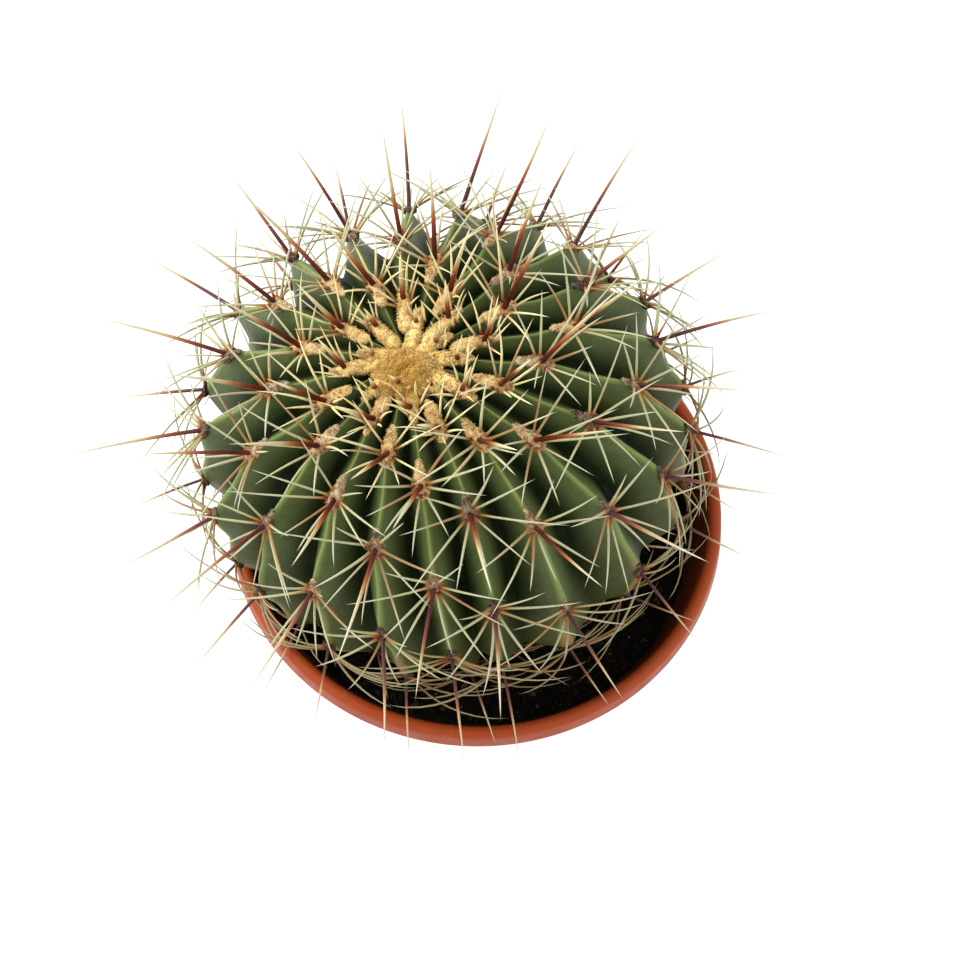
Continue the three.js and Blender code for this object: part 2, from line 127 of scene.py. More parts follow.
# Items of an areole's draws, for its central spine, its felt and the first of its radials
LEAN_DRAW, SWING_DRAW, SIZE_DRAW, CURVE_DRAW, TURN_DRAW, SHADE_DRAW = range(1, 7)
PIT_DRAW, FELT_DRAW = 90, 91
FAN_DRAW, RISE_DRAW, LOSS_DRAW, LENGTH_DRAW = 10, 30, 40, 50
TONE_DRAW, BEND_DRAW, GIRTH_DRAW, SWEEP_DRAW, VEER_DRAW = range(60, 110, 10)

PLANT_TILT = (
    Matrix.Translation(CENTRE)
    @ Matrix.Rotation(radians(LEAN_Y), 4, "Y")
    @ Matrix.Rotation(radians(LEAN_X), 4, "X")
)
TILT = np.array(PLANT_TILT)

rng = np.random.default_rng(21)


# ---- numbers

def draw(k, i):
    """The part's own repeatable draw from 0 to 1 for item i of group k."""
    value = sin(k * 12.9898 + i * 78.233) * 43758.5453
    return value - np.floor(value)


def spread(k, i):
    return 2 * draw(k, i) - 1


def unit(vectors):
    """Vectors along the last axis, scaled to length one."""
    return vectors / np.linalg.norm(vectors, axis=-1, keepdims=True)


def smooth(low, high, values):
    """0 below low, 1 above high, and an even ramp with soft ends between."""
    share = np.clip((values - low) / (high - low), 0, 1)
    return share * share * (3 - 2 * share)


CELL_PRIMES = 73856093, 19349663, 83492791
SEED_PRIME = 2654435761
STIRS = (15, 2246822519), (13, 3266489917)
WORD = 0xFFFFFFFF
HALF_WORD = 0xFFFF


def lattice_hash(cell, seed):
    """A repeatable number from 0 to 1 for each whole-numbered cell."""
    mixed = seed * SEED_PRIME
    for axis, prime in enumerate(CELL_PRIMES):
        mixed = mixed ^ (cell[..., axis] * prime)
    mixed = mixed & WORD
    for shift, factor in STIRS:
        mixed = ((mixed ^ (mixed >> shift)) * factor) & WORD
    return ((mixed ^ (mixed >> 16)) & HALF_WORD) / HALF_WORD


def noise(points, size, seed=0):
    """Smooth noise from -1 to 1 whose lumps are about size across."""
    place = np.asarray(points, float) / size
    cell = np.floor(place).astype(np.int64)
    share = place - cell
    share = share * share * (3 - 2 * share)
    total = np.zeros(place.shape[:-1])
    for corner in np.ndindex(2, 2, 2):
        weight = np.ones(place.shape[:-1])
        for axis in range(3):
            weight = weight * (share[..., axis] if corner[axis] else 1 - share[..., axis])
        total += weight * lattice_hash(cell + np.array(corner), seed)
    return 2 * total - 1


def lumps(points, layers):
    """Noises one over another, each with its height, the size of its lumps and its seed."""
    return sum(height * noise(points, size, seed) for height, size, seed in layers)


# ---- meshes

def add_object(name, data):
    made = bpy.data.objects.new(name, data)
    bpy.context.scene.collection.objects.link(made)
    return made


def add_piece(name, points, faces, material, values=None, replaces=None, smooth_faces=True):
    """A mesh piece from points in millimetres, riding on the root body."""
    mesh = bpy.data.meshes.new(name)
    mesh.from_pydata((np.asarray(points, float) * MM).tolist(), [], [list(f) for f in faces])
    for key, numbers in (values or {}).items():
        layer = mesh.attributes.new(key, "FLOAT", "POINT")
        layer.data.foreach_set("value", np.asarray(numbers, np.float32).ravel())
    mesh.polygons.foreach_set("use_smooth", [smooth_faces] * len(mesh.polygons))
    mesh.materials.append(material)
    mesh.update()
    piece = add_object(name, mesh)
    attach(piece, "root")
    if replaces:
        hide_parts(replaces)
    return piece


def even_turns(count):
    """Angles evenly spaced round a full turn."""
    return 2 * pi * np.arange(count) / count


def level_ring(radius, angles, height):
    """Points round the vertical axis at one radius, or one for each angle."""
    return np.stack([radius * np.cos(angles), radius * np.sin(angles), height + 0 * angles], -1)


def ring_faces(rings, columns):
    """Quads between rings of points that each hold the same number of columns."""
    ring, column = np.meshgrid(np.arange(rings - 1), np.arange(columns), indexing="ij")
    here, after = ring * columns + column, ring * columns + (column + 1) % columns
    return np.stack([here, here + columns, after + columns, after], -1).reshape(-1, 4).tolist()


def fan_faces(centre, ring_start, columns, outward):
    """Triangles from a centre point to a ring of points, numbered from ring_start on."""
    here = ring_start + np.arange(columns)
    after = np.roll(here, -1)
    middle = np.full(columns, centre)
    return np.stack([middle, here, after] if outward else [middle, after, here], -1).tolist()


def closed_rings(rings, first_cap, last_cap):
    """Points and faces of a closed surface over stacked rings, capped by a point at both ends."""
    count, columns = rings.shape[:2]
    points = np.concatenate([rings.reshape(-1, 3), [first_cap], [last_cap]])
    faces = ring_faces(count, columns)
    faces += fan_faces(count * columns, 0, columns, True)
    faces += fan_faces(count * columns + 1, (count - 1) * columns, columns, False)
    return points, faces


def tubes(roots, starts, bends, angles, lengths, radii, taper, steps, sides):
    """Closed tapered tubes, each along an arc that turns by its angle from start towards bend.

    Returns points, faces and, for each point, its share of the way along and its tube's number.
    """
    count = len(roots)
    starts = unit(starts)
    bends = unit(bends - starts * np.sum(bends * starts, -1, keepdims=True))
    third = np.cross(starts, bends)[:, None, None]
    shares = np.linspace(0, 1, steps + 1) ** 1.5
    swept = angles[:, None] * shares
    sine, cosine = np.sin(swept)[..., None], np.cos(swept)[..., None]
    reach = (lengths / angles)[:, None, None]
    starts, bends = starts[:, None], bends[:, None]
    line = roots[:, None] + reach * sine * starts + reach * (1 - cosine) * bends
    normal = (-sine * starts + cosine * bends)[:, :-1, None]
    widths = (radii[:, None] * taper(shares))[:, :-1, None, None]
    around = even_turns(sides)[:, None]
    rings = line[:, :-1, None] + widths * np.cos(around) * normal + widths * np.sin(around) * third
    tip = steps * sides
    points = np.concatenate([rings.reshape(count, -1, 3), line[:, -1:], line[:, :1]], 1)
    quads = np.array(ring_faces(steps, sides))[:, [0, 3, 2, 1]]
    caps = np.array(fan_faces(tip, tip - sides, sides, True) + fan_faces(tip + 1, 0, sides, False))
    shift = (np.arange(count) * (tip + 2))[:, None, None]
    faces = (quads + shift).reshape(-1, 4).tolist() + (caps + shift).reshape(-1, 3).tolist()
    along = np.concatenate([np.repeat(shares[:-1], sides), [1.0, 0.0]])
    return points.reshape(-1, 3), faces, np.tile(along, count), np.repeat(np.arange(count), tip + 2)


def tapered_spine(shares, swelling=0.4, fullness=1.8):
    """Radius along a spine: a bulb at the root, full to the middle, then a needle point."""
    bulb = 1 + swelling * np.exp(-((shares / 0.05) ** 2))
    return bulb * ((1 - shares**fullness) ** 0.9 * 0.97 + 0.03)


def tapered_radial(shares):
    return tapered_spine(shares, swelling=0.8, fullness=2.4)


def tapered_hair(shares):
    return 1 - shares


# ---- plant shape

NEARBY = 0.01  # angle between two places that give a direction


def crest_outline(t):
    """Radius and height of the crests at angle t from the crown, in the plant's own frame."""
    t = np.asarray(t, float)
    up = np.cos(t) > 0
    power = np.where(up, UPPER_FULLNESS, LOWER_FULLNESS)
    reach = np.where(up, RISE, DROP)
    total = (np.abs(np.cos(t)) / reach) ** power + (np.abs(np.sin(t)) / GIRTH) ** power
    distance = total ** (-1 / power)
    return distance * np.sin(t), distance * np.cos(t)


def crest_normal(t):
    """Outward and upward parts of the direction straight out of the crests."""
    across, up = np.subtract(crest_outline(t + NEARBY), crest_outline(t - NEARBY))
    size = np.hypot(across, up)
    return -up / size, across / size


def azimuth_of(rib, t):
    """Even and drifted azimuth of a place on rib number rib, in radians."""
    even = FIRST_RIB + np.asarray(rib, float) * 360 / RIBS
    aside = (even - CROWD_AZIMUTH + 180) % 360 - 180
    depth = np.clip(t, CROWD_FROM, CROWD_UNTIL) - CROWD_FROM
    crowd = CROWD_AMOUNT * np.exp(-((aside / CROWD_WIDTH) ** 2)) * depth
    drift = RIB_DRIFT * np.sin(np.radians(even))
    return np.radians(even), np.radians(even + drift + crowd)


def areole_angle(k):
    return ANGLE_FROM_CROWN + ANGLE_STEP * k + ANGLE_GROWTH * k * k


def areole_count_at(t):
    under = ANGLE_STEP ** 2 - 4 * ANGLE_GROWTH * (ANGLE_FROM_CROWN - t)
    return (-ANGLE_STEP + np.sqrt(np.maximum(under, 0))) / (2 * ANGLE_GROWTH)


def rib_of(k):
    return (TURN_STEPS * k) % RIBS


def areole_phase(rib, t):
    """Turns of 2 pi from one areole of a rib to the next."""
    residue = (TURN_STEPS * np.round(rib)) % RIBS
    return 2 * pi * (areole_count_at(t) - residue) / RIBS


def flank_share(aside, rounding=0.0):
    """Share of the groove's depth between a crest (0) and a groove (0.5)."""
    share = 2 * np.abs(aside)
    share = np.sqrt(share ** 2 + rounding ** 2) - rounding
    share = share / (np.sqrt(1 + rounding ** 2) - rounding)
    rounded = 1 - (1 - share) ** CREST_SHARPNESS
    return FLAT_SHARE * share + (1 - FLAT_SHARE) * rounded


def groove_share(t):
    """Depth of the grooves as a share of the radius: the low, old grooves are shallow."""
    fade = smooth(*GROOVES_FADE, t)
    return GROOVE_SHARE + (LOW_GROOVE_SHARE - GROOVE_SHARE) * fade


def crown_point(rib, t, lift):
    """A point lifted over the smooth surface that the crests would make without ribs."""
    radius, height = crest_outline(t)
    out, up = crest_normal(t)
    even, turned = azimuth_of(rib, t)
    oval = 1 + OVALITY * np.cos(2 * even)
    radius = (radius + lift * out) * oval
    height = height + lift * up
    return level_ring(radius, turned, height) @ TILT[:3, :3].T + TILT[:3, 3]


def plant_point(rib, t, rounding=0.0, lift=0.0):
    """A point on the skin, or lifted off it, at a rib number and an angle from the crown."""
    rib = np.asarray(rib, float)
    radius = crest_outline(t)[0]
    aside = rib - np.round(rib)
    fade = np.clip((radius - SMOOTH_CROWN) / (2 * SMOOTH_CROWN), 0, 1)
    swell = SWELLING * fade * np.cos(areole_phase(rib, t)) * (1 - 2 * np.abs(aside))
    sink = groove_share(t) * radius * flank_share(aside, rounding)
    return crown_point(rib, t, swell - sink + lift)


CROWN = crown_point(0.0, 0.0, 0.0)
CROWN_AXIS = TILT[:3, 2]


def crest_frame(k):
    """Point, outward, down-rib and sideways directions at areole k."""
    rib, t = rib_of(k), areole_angle(k)
    point = plant_point(rib, t)
    down = unit(plant_point(rib, t + 3 * NEARBY) - plant_point(rib, t - 3 * NEARBY))
    aside = plant_point(rib + 1, t) - plant_point(rib - 1, t)
    aside = unit(aside - down * np.dot(aside, down))
    out = unit(np.cross(aside, down))
    if np.dot(out, point - TILT[:3, 3]) < 0:
        out = -out
    return point, out, down, aside


# ---- materials

class Paint:
    """A material's node tree, with short ways to add and wire its nodes."""

    def __init__(self, name):
        self.material = bpy.data.materials.new(name)
        self.material.use_nodes = True
        self.tree = self.material.node_tree
        self.shader = self.tree.nodes["Principled BSDF"]
        self.places = self.add("TexCoord").outputs
        self.coords = self.places["Object"]

    def wire(self, value, socket):
        """Links another node's socket to this one, or sets this one to a number or colour."""
        if isinstance(value, bpy.types.NodeSocket):
            self.tree.links.new(value, socket)
        else:
            socket.default_value = (*value, 1) if socket.type == "RGBA" else value

    def add(self, kind, inputs=None, **settings):
        """A new node with its settings made and its inputs wired."""
        node = self.tree.nodes.new("ShaderNode" + kind)
        for name, setting in settings.items():
            setattr(node, name, setting)
        for key, value in (inputs or {}).items():
            self.wire(value, node.inputs[key])
        return node

    def value(self, name):
        """A number stored at the mesh's points."""
        return self.add("Attribute", attribute_name=name).outputs["Fac"]

    def height(self):
        """Height above the ground, in metres."""
        return self.add("SeparateXYZ", {0: self.coords}).outputs["Z"]

    def outward(self):
        """Negative where the surface faces the middle of the pot's base, and positive elsewhere."""
        vectors = {0: self.coords, 1: self.places["Normal"]}
        return self.add("VectorMath", vectors, operation="DOT_PRODUCT").outputs["Value"]

    def noise(self, size, detail=3.0, roughness=0.55, stretch=(1, 1, 1)):
        """Noise from 0 to 1 whose lumps are about size millimetres across."""
        place = self.add("Mapping", {"Vector": self.coords, "Scale": stretch}).outputs["Vector"]
        inputs = {"Vector": place, "Scale": 1 / (size * MM), "Detail": detail, "Roughness": roughness}
        return self.add("TexNoise", inputs).outputs["Fac"]

    def curls(self, size):
        """Distance to the middle of the nearest of many curls about size millimetres apart."""
        inputs = {"Vector": self.coords, "Scale": 1 / (size * MM)}
        return self.add("TexVoronoi", inputs).outputs["Distance"]

    def math(self, operation, a, b):
        return self.add("Math", {0: a, 1: b}, operation=operation).outputs[0]

    def times(self, product, *factors):
        for factor in factors:
            product = self.math("MULTIPLY", product, factor)
        return product

    def between(self, value, low, high, to_low=0.0, to_high=1.0):
        """value taken from the range low..high to another range, with soft ends."""
        inputs = dict(enumerate((value, low, high, to_low, to_high)))
        return self.add("MapRange", inputs, interpolation_type="SMOOTHSTEP").outputs["Result"]

    def ramp(self, value, stops):
        """The colour at a value, from the colours at some values."""
        node = self.add("ValToRGB", {0: value})
        elements = node.color_ramp.elements
        while len(elements) < len(stops):
            elements.new(0.5)
        for element, (place, colour) in zip(elements, stops.items()):
            element.position = place
            element.color = (*colour, 1)
        return node.outputs["Color"]

    def mix(self, share, a, b, how="MIX"):
        """Colour a with a share of colour b over it."""
        return self.add("Mix", {0: share, 6: a, 7: b}, data_type="RGBA", blend_type=how).outputs[2]

    def bump(self, height, depth, under=None):
        """Relief whose full range is depth millimetres, over any relief under it."""
        inputs = {"Height": height, "Distance": depth * MM}
        if under is not None:
            inputs["Normal"] = under
        return self.add("Bump", inputs).outputs["Normal"]

    def finish(self, **sockets):
        """The material, with shader sockets named by words that underscores join."""
        for name, value in sockets.items():
            self.wire(value, self.shader.inputs[name.replace("_", " ")])
        return self.material


# The skin's own greens on the crests and flanks, darkening to near black as painted shade in the grooves
SKIN_AND_GROOVE_SHADE_BY_DEPTH = {
    0.0: (0.125, 0.165, 0.04),
    0.12: (0.1, 0.13, 0.04),
    0.35: (0.077, 0.102, 0.034),
    0.6: (0.036, 0.05, 0.016),
    0.8: (0.01, 0.016, 0.005),
    1.0: (0.002, 0.004, 0.001),
}
BLOOM = (0.145, 0.18, 0.09)
DARK_MOTTLE = (0.024, 0.038, 0.012)
# Olive tone of older skin, with painted shade darkening the lower half
OLD_SKIN_TONE_AND_LOWER_SHADE = (0.56, 0.5, 0.37)
CREST_LINES = (0.23, 0.28, 0.085), (0.15, 0.21, 0.045)
CORKS = (0.26, 0.15, 0.05), (0.17, 0.075, 0.026)
FOOT_DARK_BROWN = (0.06, 0.045, 0.022)


def skin_material():
    """Waxy green skin: pale crest line, painted shade going near black in the grooves, bloom, cork and an
    olive tone with painted shade on the older parts, and a darker brown foot.
    """
    paint = Paint("cactus_skin")
    depth = paint.value("depth")
    age = paint.value("age")
    blotch = paint.noise(22, 4)
    fine = paint.noise(4, 5)
    bloom = paint.times(
        paint.between(age, 0.1, 0.75),
        paint.between(blotch, 0.35, 0.7),
        paint.between(depth, 0.75, 0.15),
        paint.between(age, 0.5, 0.36, 0.2, 1.0),
        0.5,
    )
    # The depth ramp paints shade into the grooves over the skin's own green
    colour = paint.mix(bloom, paint.ramp(depth, SKIN_AND_GROOVE_SHADE_BY_DEPTH), BLOOM)
    colour = paint.mix(paint.between(fine, 0.3, 0.75, 0.0, 0.28), colour, DARK_MOTTLE)
    # Older skin turns olive, and the lower half is darkened by painted shade
    colour = paint.mix(paint.between(age, 0.28, 0.56), colour, OLD_SKIN_TONE_AND_LOWER_SHADE, "MULTIPLY")
    line = paint.times(paint.between(depth, 0.13, 0.02), 0.7)
    colour = paint.mix(line, colour, paint.mix(paint.noise(9, 2), *CREST_LINES))
    cork = paint.times(
        paint.between(age, 0.35, 0.6),
        paint.between(paint.noise(14, 3), 0.46, 0.56),
        paint.between(depth, 0.14, 0.03),
    )
    colour = paint.mix(cork, colour, paint.mix(fine, *CORKS))
    # Darker brown at the very foot, by the soil line
    foot = paint.between(paint.math("ADD", age, paint.times(blotch, 0.12)), 0.98, 1.08)
    pores = paint.bump(paint.between(paint.curls(0.9), 0.0, 0.45), 0.05)
    return paint.finish(
        Base_Color=paint.mix(foot, colour, FOOT_DARK_BROWN),
        Roughness=paint.between(blotch, 0.3, 0.7, 0.4, 0.55),
        Normal=paint.bump(fine, 0.35, pores),
        Specular_IOR_Level=paint.between(depth, 0.7, 0.1, 0.02, 0.12),
    )


TENDER_YELLOW = (0.84, 0.72, 0.38)
TENDER_UNTIL = 0.11  # age
YOUNG_CENTRAL = {
    0.0: (0.11, 0.01, 0.004),
    0.09: (0.04, 0.005, 0.003),
    0.27: (0.095, 0.012, 0.006),
    0.38: (0.2, 0.034, 0.013),
    0.48: (0.34, 0.13, 0.042),
    0.59: (0.47, 0.38, 0.19),
    1.0: (0.58, 0.58, 0.44),
}
OLD_CENTRAL = {
    0.0: (0.05, 0.02, 0.017),
    0.16: (0.06, 0.02, 0.019),
    0.34: (0.13, 0.04, 0.03),
    0.47: (0.29, 0.12, 0.055),
    0.59: (0.46, 0.36, 0.19),
    1.0: (0.55, 0.54, 0.42),
}
CENTRAL_DUST = (0.14, 0.06, 0.03)
YOUNG_RADIAL = {
    0.0: (0.15, 0.024, 0.008),
    0.035: (0.27, 0.08, 0.02),
    0.09: (0.36, 0.225, 0.08),
    0.18: (0.4, 0.37, 0.195),
    0.6: (0.43, 0.435, 0.27),
    1.0: (0.49, 0.51, 0.37),
}
OLD_RADIAL = {
    0.0: (0.1, 0.032, 0.012),
    0.06: (0.17, 0.072, 0.022),
    0.2: (0.2, 0.13, 0.05),
    0.6: (0.22, 0.178, 0.08),
    1.0: (0.29, 0.26, 0.145),
}
RADIAL_RUST = (0.27, 0.1, 0.026)
RADIAL_DUST = (0.28, 0.22, 0.1)


def spine_colour(paint, young, old, shift, weathers, tender):
    """Colour along a spine, from a young and an old ramp, moved along by each spine's tone.

    weathers gives the ages at which the young colours start to fade and have gone, and
    tender the stretch along the youngest spines where they turn to clear yellow.
    """
    along = paint.value("along")
    moved = paint.times(paint.math("SUBTRACT", paint.value("tone"), 0.5), shift)
    place = paint.math("ADD", along, moved)
    age = paint.value("age")
    colour = paint.mix(paint.between(age, *weathers), paint.ramp(place, young), paint.ramp(place, old))
    yellow = paint.times(paint.between(age, TENDER_UNTIL, 0), paint.between(along, *tender))
    return paint.mix(yellow, colour, TENDER_YELLOW)


def central_material():
    """Central spines: near-black root, through dark red and rust to a long straw point."""
    paint = Paint("central_spines")
    colour = spine_colour(paint, YOUNG_CENTRAL, OLD_CENTRAL, 0.3, (0.14, 0.42), (0.5, 0.85))
    dust = paint.between(paint.noise(1.5, 3), 0.4, 0.8, 0.0, 0.2)
    return paint.finish(
        Base_Color=paint.mix(dust, colour, CENTRAL_DUST),
        Roughness=0.38,
        Normal=paint.bump(paint.noise(0.7, 2), 0.05),
        Specular_IOR_Level=0.16,
    )


def radial_material():
    """Radial spines: pale straw from a short orange-brown root, tan where they are old."""
    paint = Paint("radial_spines")
    colour = spine_colour(paint, YOUNG_RADIAL, OLD_RADIAL, 0.12, (0.34, 0.62), (0.1, 0.3))
    rust = paint.times(
        paint.between(paint.value("tone"), 0.76, 0.9, 0.0, 0.75),
        paint.between(paint.value("along"), 0.9, 0.4),
    )
    colour = paint.mix(rust, colour, RADIAL_RUST)
    dust = paint.between(paint.noise(2, 3), 0.4, 0.8, 0.0, 0.3)
    return paint.finish(
        Base_Color=paint.mix(dust, colour, RADIAL_DUST),
        Roughness=0.55,
        Normal=paint.bump(paint.noise(0.6, 2), 0.04),
        Specular_IOR_Level=0.12,
    )


PALE_FELT = {
    0.0: (0.8, 0.59, 0.25),
    0.09: (0.72, 0.53, 0.27),
    0.15: (0.54, 0.42, 0.26),
    0.23: (0.27, 0.22, 0.155),
    0.33: (0.11, 0.098, 0.082),
    1.0: (0.085, 0.078, 0.068),
}
DARK_FELT = {
    0.0: (0.3, 0.09, 0.02),
    0.12: (0.19, 0.07, 0.022),
    0.25: (0.06, 0.032, 0.022),
    1.0: (0.016, 0.012, 0.011),
}
ROOT_STAIN = (0.17, 0.045, 0.014)
FELT_FLECK = (0.36, 0.25, 0.19)
WOOL_BY_REACH = {
    0.0: (0.56, 0.29, 0.06),
    0.35: (0.68, 0.42, 0.11),
    0.65: (0.79, 0.58, 0.215),
    1.0: (0.82, 0.61, 0.26),
}
WOOL_SHADE = (0.54, 0.26, 0.055)


def matted(paint, colour, curl, depth):
    """Dull matted hair of a colour, with curls curl millimetres apart and depth deep."""
    curls = paint.bump(paint.between(paint.curls(curl), 0.0, 0.6), depth)
    return paint.finish(
        Base_Color=colour,
        Roughness=0.95,
        Normal=paint.bump(paint.noise(0.5, 3), 0.25, curls),
        Specular_IOR_Level=0.1,
    )


def felt_material():
    """Felt of the areoles: golden when young, pinkish beige later, dark grey-brown in age."""
    paint = Paint("areole_felt")
    age = paint.value("age")
    grime = paint.between(paint.noise(1.7, 4, 0.7), 0.48, 0.55)
    grime = paint.times(grime, paint.between(age, 0.05, 0.3, 0.4, 1.0))
    dark = paint.math("MAXIMUM", grime, paint.value("pit"))
    colour = paint.mix(dark, paint.ramp(age, PALE_FELT), paint.ramp(age, DARK_FELT))
    patchy = paint.between(paint.noise(1.4, 3), 0.3, 0.55, 0.4, 1.0)
    colour = paint.mix(paint.times(paint.value("stain"), patchy), colour, ROOT_STAIN)
    flecks = paint.between(paint.noise(0.9, 2), 0.6, 0.66)
    flecks = paint.times(flecks, paint.between(age, 0.15, 0.3), 0.6)
    return matted(paint, paint.mix(flecks, colour, FELT_FLECK), 0.9, 0.35)


def wool_material():
    """Golden wool of the growing tip, browner in its middle and cream on its arms."""
    paint = Paint("crown_wool")
    shade = paint.times(paint.between(paint.noise(1.6, 5), 0.44, 0.62), 0.5)
    colour = paint.mix(shade, paint.ramp(paint.value("away"), WOOL_BY_REACH), WOOL_SHADE)
    return matted(paint, colour, 0.7, 0.3)


TERRACOTTAS = (0.31, 0.05, 0.01), (0.26, 0.04, 0.008)
PALE_GRAIN = (0.34, 0.085, 0.032)
SCUFFED = (0.38, 0.15, 0.08)
# Near-black brown on the inner wall: soil stain together with painted shade
SOIL_STAIN_AND_SHADE = (0.03, 0.012, 0.007)
CLEAN_UNSHADED_LIP = 1.0
STAIN_AND_SHADE_FROM = 7.0  # below the rim


def pot_material():
    """Moulded terracotta-coloured plastic, a little scuffed, and darkened inside by soil stain and painted
    shade.
    """
    paint = Paint("bowl_plastic")
    cloud = paint.noise(35, 3)
    grain = paint.noise(1.2, 4)
    colour = paint.mix(cloud, *TERRACOTTAS)
    colour = paint.mix(paint.between(grain, 0.55, 0.8, 0.0, 0.25), colour, PALE_GRAIN)
    scuff = paint.noise(14, 6, 0.7, (1, 1, 0.35))
    colour = paint.mix(paint.between(scuff, 0.58, 0.7, 0.0, 0.25), colour, SCUFFED)
    clean_unshaded_top, stained_shaded_low = (POT_HEIGHT - CLEAN_UNSHADED_LIP) * MM, (POT_HEIGHT - STAIN_AND_SHADE_FROM) * MM
    # Inside the bowl and below the rim: soil stain together with painted shade, darkest towards the soil
    soil = paint.times(
        paint.between(paint.height(), clean_unshaded_top, stained_shaded_low, 0.0, 0.9),
        paint.between(cloud, 0.2, 0.6, 0.6, 1.0),
        paint.between(paint.outward(), 0.0, -0.03),
    )
    return paint.finish(
        Base_Color=paint.mix(soil, colour, SOIL_STAIN_AND_SHADE),
        Roughness=paint.between(paint.noise(9, 4), 0.3, 0.7, 0.38, 0.52),
        Normal=paint.bump(grain, 0.06),
        Specular_IOR_Level=0.15,
    )


PEAT = {
    0.3: (0.002, 0.0015, 0.001),
    0.55: (0.006, 0.0045, 0.003),
    0.72: (0.02, 0.012, 0.007),
    0.85: (0.05, 0.03, 0.018),
}
CRUMB_TONES = {
    0.0: (0.002, 0.0015, 0.001),
    0.55: (0.007, 0.005, 0.003),
    0.8: (0.022, 0.012, 0.006),
    0.93: (0.07, 0.038, 0.018),
    1.0: (0.15, 0.13, 0.1),
}
DARK_CRUMB = (0.01, 0.007, 0.005)


def soil_material():
    """Dark moist peat."""
    paint = Paint("soil_peat")
    colour = paint.ramp(paint.noise(3.5, 6, 0.7), PEAT)
    relief = paint.bump(paint.noise(1.6, 5, 0.7), 1.2)
    return paint.finish(Base_Color=colour, Roughness=0.92, Normal=relief, Specular_IOR_Level=0.08)


def crumb_material():
    """Crumbs, bark and fibre: each crumb has its own tone."""
    paint = Paint("soil_crumbs")
    colour = paint.mix(paint.noise(0.8, 4), paint.ramp(paint.value("tone"), CRUMB_TONES), DARK_CRUMB)
    relief = paint.bump(paint.noise(0.6, 4), 0.3)
    return paint.finish(Base_Color=colour, Roughness=0.9, Normal=relief, Specular_IOR_Level=0.08)


def floor_material():
    """Matt grey with a soft glow, so that the floor reads as pale studio paper."""
    return Paint("pale_floor").finish(
        Base_Color=(0.35, 0.35, 0.35),
        Roughness=0.8,
        Specular_IOR_Level=0.2,
        Emission_Color=(1, 1, 1),
        Emission_Strength=0.82,
    )


# ---- bowl

BOWL_SEGMENTS = 256
WALL_STEPS = 16
BAND_FILLET = 1.0
DRAIN_SIDES = 40


def arc(centre_radius, centre_height, radius, start, end, steps):
    """Radius and height along an arc between two angles in degrees."""
    angles = np.radians(np.linspace(start, end, steps + 1))
    return np.stack([centre_radius + radius * np.cos(angles), centre_height + radius * np.sin(angles)], -1)


def wall_radius(height):
    share = np.asarray(height, float) / (POT_HEIGHT - BAND_HEIGHT)
    swell = WALL_SWELL * np.sin(pi * np.minimum(share, 1))
    return BASE_RADIUS + (NECK_RADIUS - BASE_RADIUS) * share + swell


def inner_radius(height):
    return wall_radius(height) - WALL


def bowl_outline():
    """Radius and height pairs from the middle underneath, over the rim, to the middle inside."""
    band_foot = POT_HEIGHT - BAND_HEIGHT
    roll = (RIM_RADIUS - BAND_DRAFT - LIP_RADIUS) / 2
    outside = np.linspace(EDGE_ROUND, band_foot - BAND_BEVEL, WALL_STEPS)
    inner_corner = FLOOR + EDGE_ROUND
    inside = np.linspace(band_foot, inner_corner, WALL_STEPS)
    foot = wall_radius(EDGE_ROUND) - EDGE_ROUND
    inner_foot = inner_radius(inner_corner) - EDGE_ROUND
    pieces = [
        arc(foot, EDGE_ROUND, EDGE_ROUND, -90, 0, 8),
        np.stack([wall_radius(outside), outside], -1)[1:-1],
        arc(wall_radius(band_foot) + BAND_FILLET, band_foot - BAND_FILLET, BAND_FILLET, 180, 90, 4),
        arc(RIM_RADIUS - BAND_BEVEL, band_foot + BAND_BEVEL, BAND_BEVEL, -90, 0, 5),
        arc(LIP_RADIUS + roll, POT_HEIGHT - roll, roll, 0, 180, 20),
        np.stack([inner_radius(inside), inside], -1),
        arc(inner_foot, inner_corner, EDGE_ROUND, 0, -90, 8)[1:],
    ]
    return np.concatenate(pieces)


def cut_drain_holes(piece):
    """Cuts the drain holes through the bowl's floor."""
    cutters = []
    for angle in even_turns(DRAIN_HOLES):
        middle = Vector((DRAIN_CIRCLE * cos(angle), DRAIN_CIRCLE * sin(angle), FLOOR / 2)) * MM
        bpy.ops.mesh.primitive_cylinder_add(
            vertices=DRAIN_SIDES, radius=DRAIN_RADIUS * MM, depth=4 * FLOOR * MM, location=middle
        )
        cutters.append(bpy.context.object)
        cut = piece.modifiers.new("drain_hole", "BOOLEAN")
        cut.operation = "DIFFERENCE"
        cut.solver = "EXACT"
        cut.object = cutters[-1]
    graph = bpy.context.evaluated_depsgraph_get()
    mesh = bpy.data.meshes.new_from_object(piece.evaluated_get(graph))
    piece.modifiers.clear()
    piece.data = mesh
    for cutter in cutters:
        bpy.data.objects.remove(cutter)


def make_bowl():
    angles = even_turns(BOWL_SEGMENTS)
    rings = [level_ring(radius, angles, height) for radius, height in bowl_outline()[::-1]]
    points, faces = closed_rings(np.array(rings), (0, 0, FLOOR), (0, 0, 0))
    cut_drain_holes(add_piece("bowl", points, faces, pot_material(), replaces="pot"))


# ---- soil

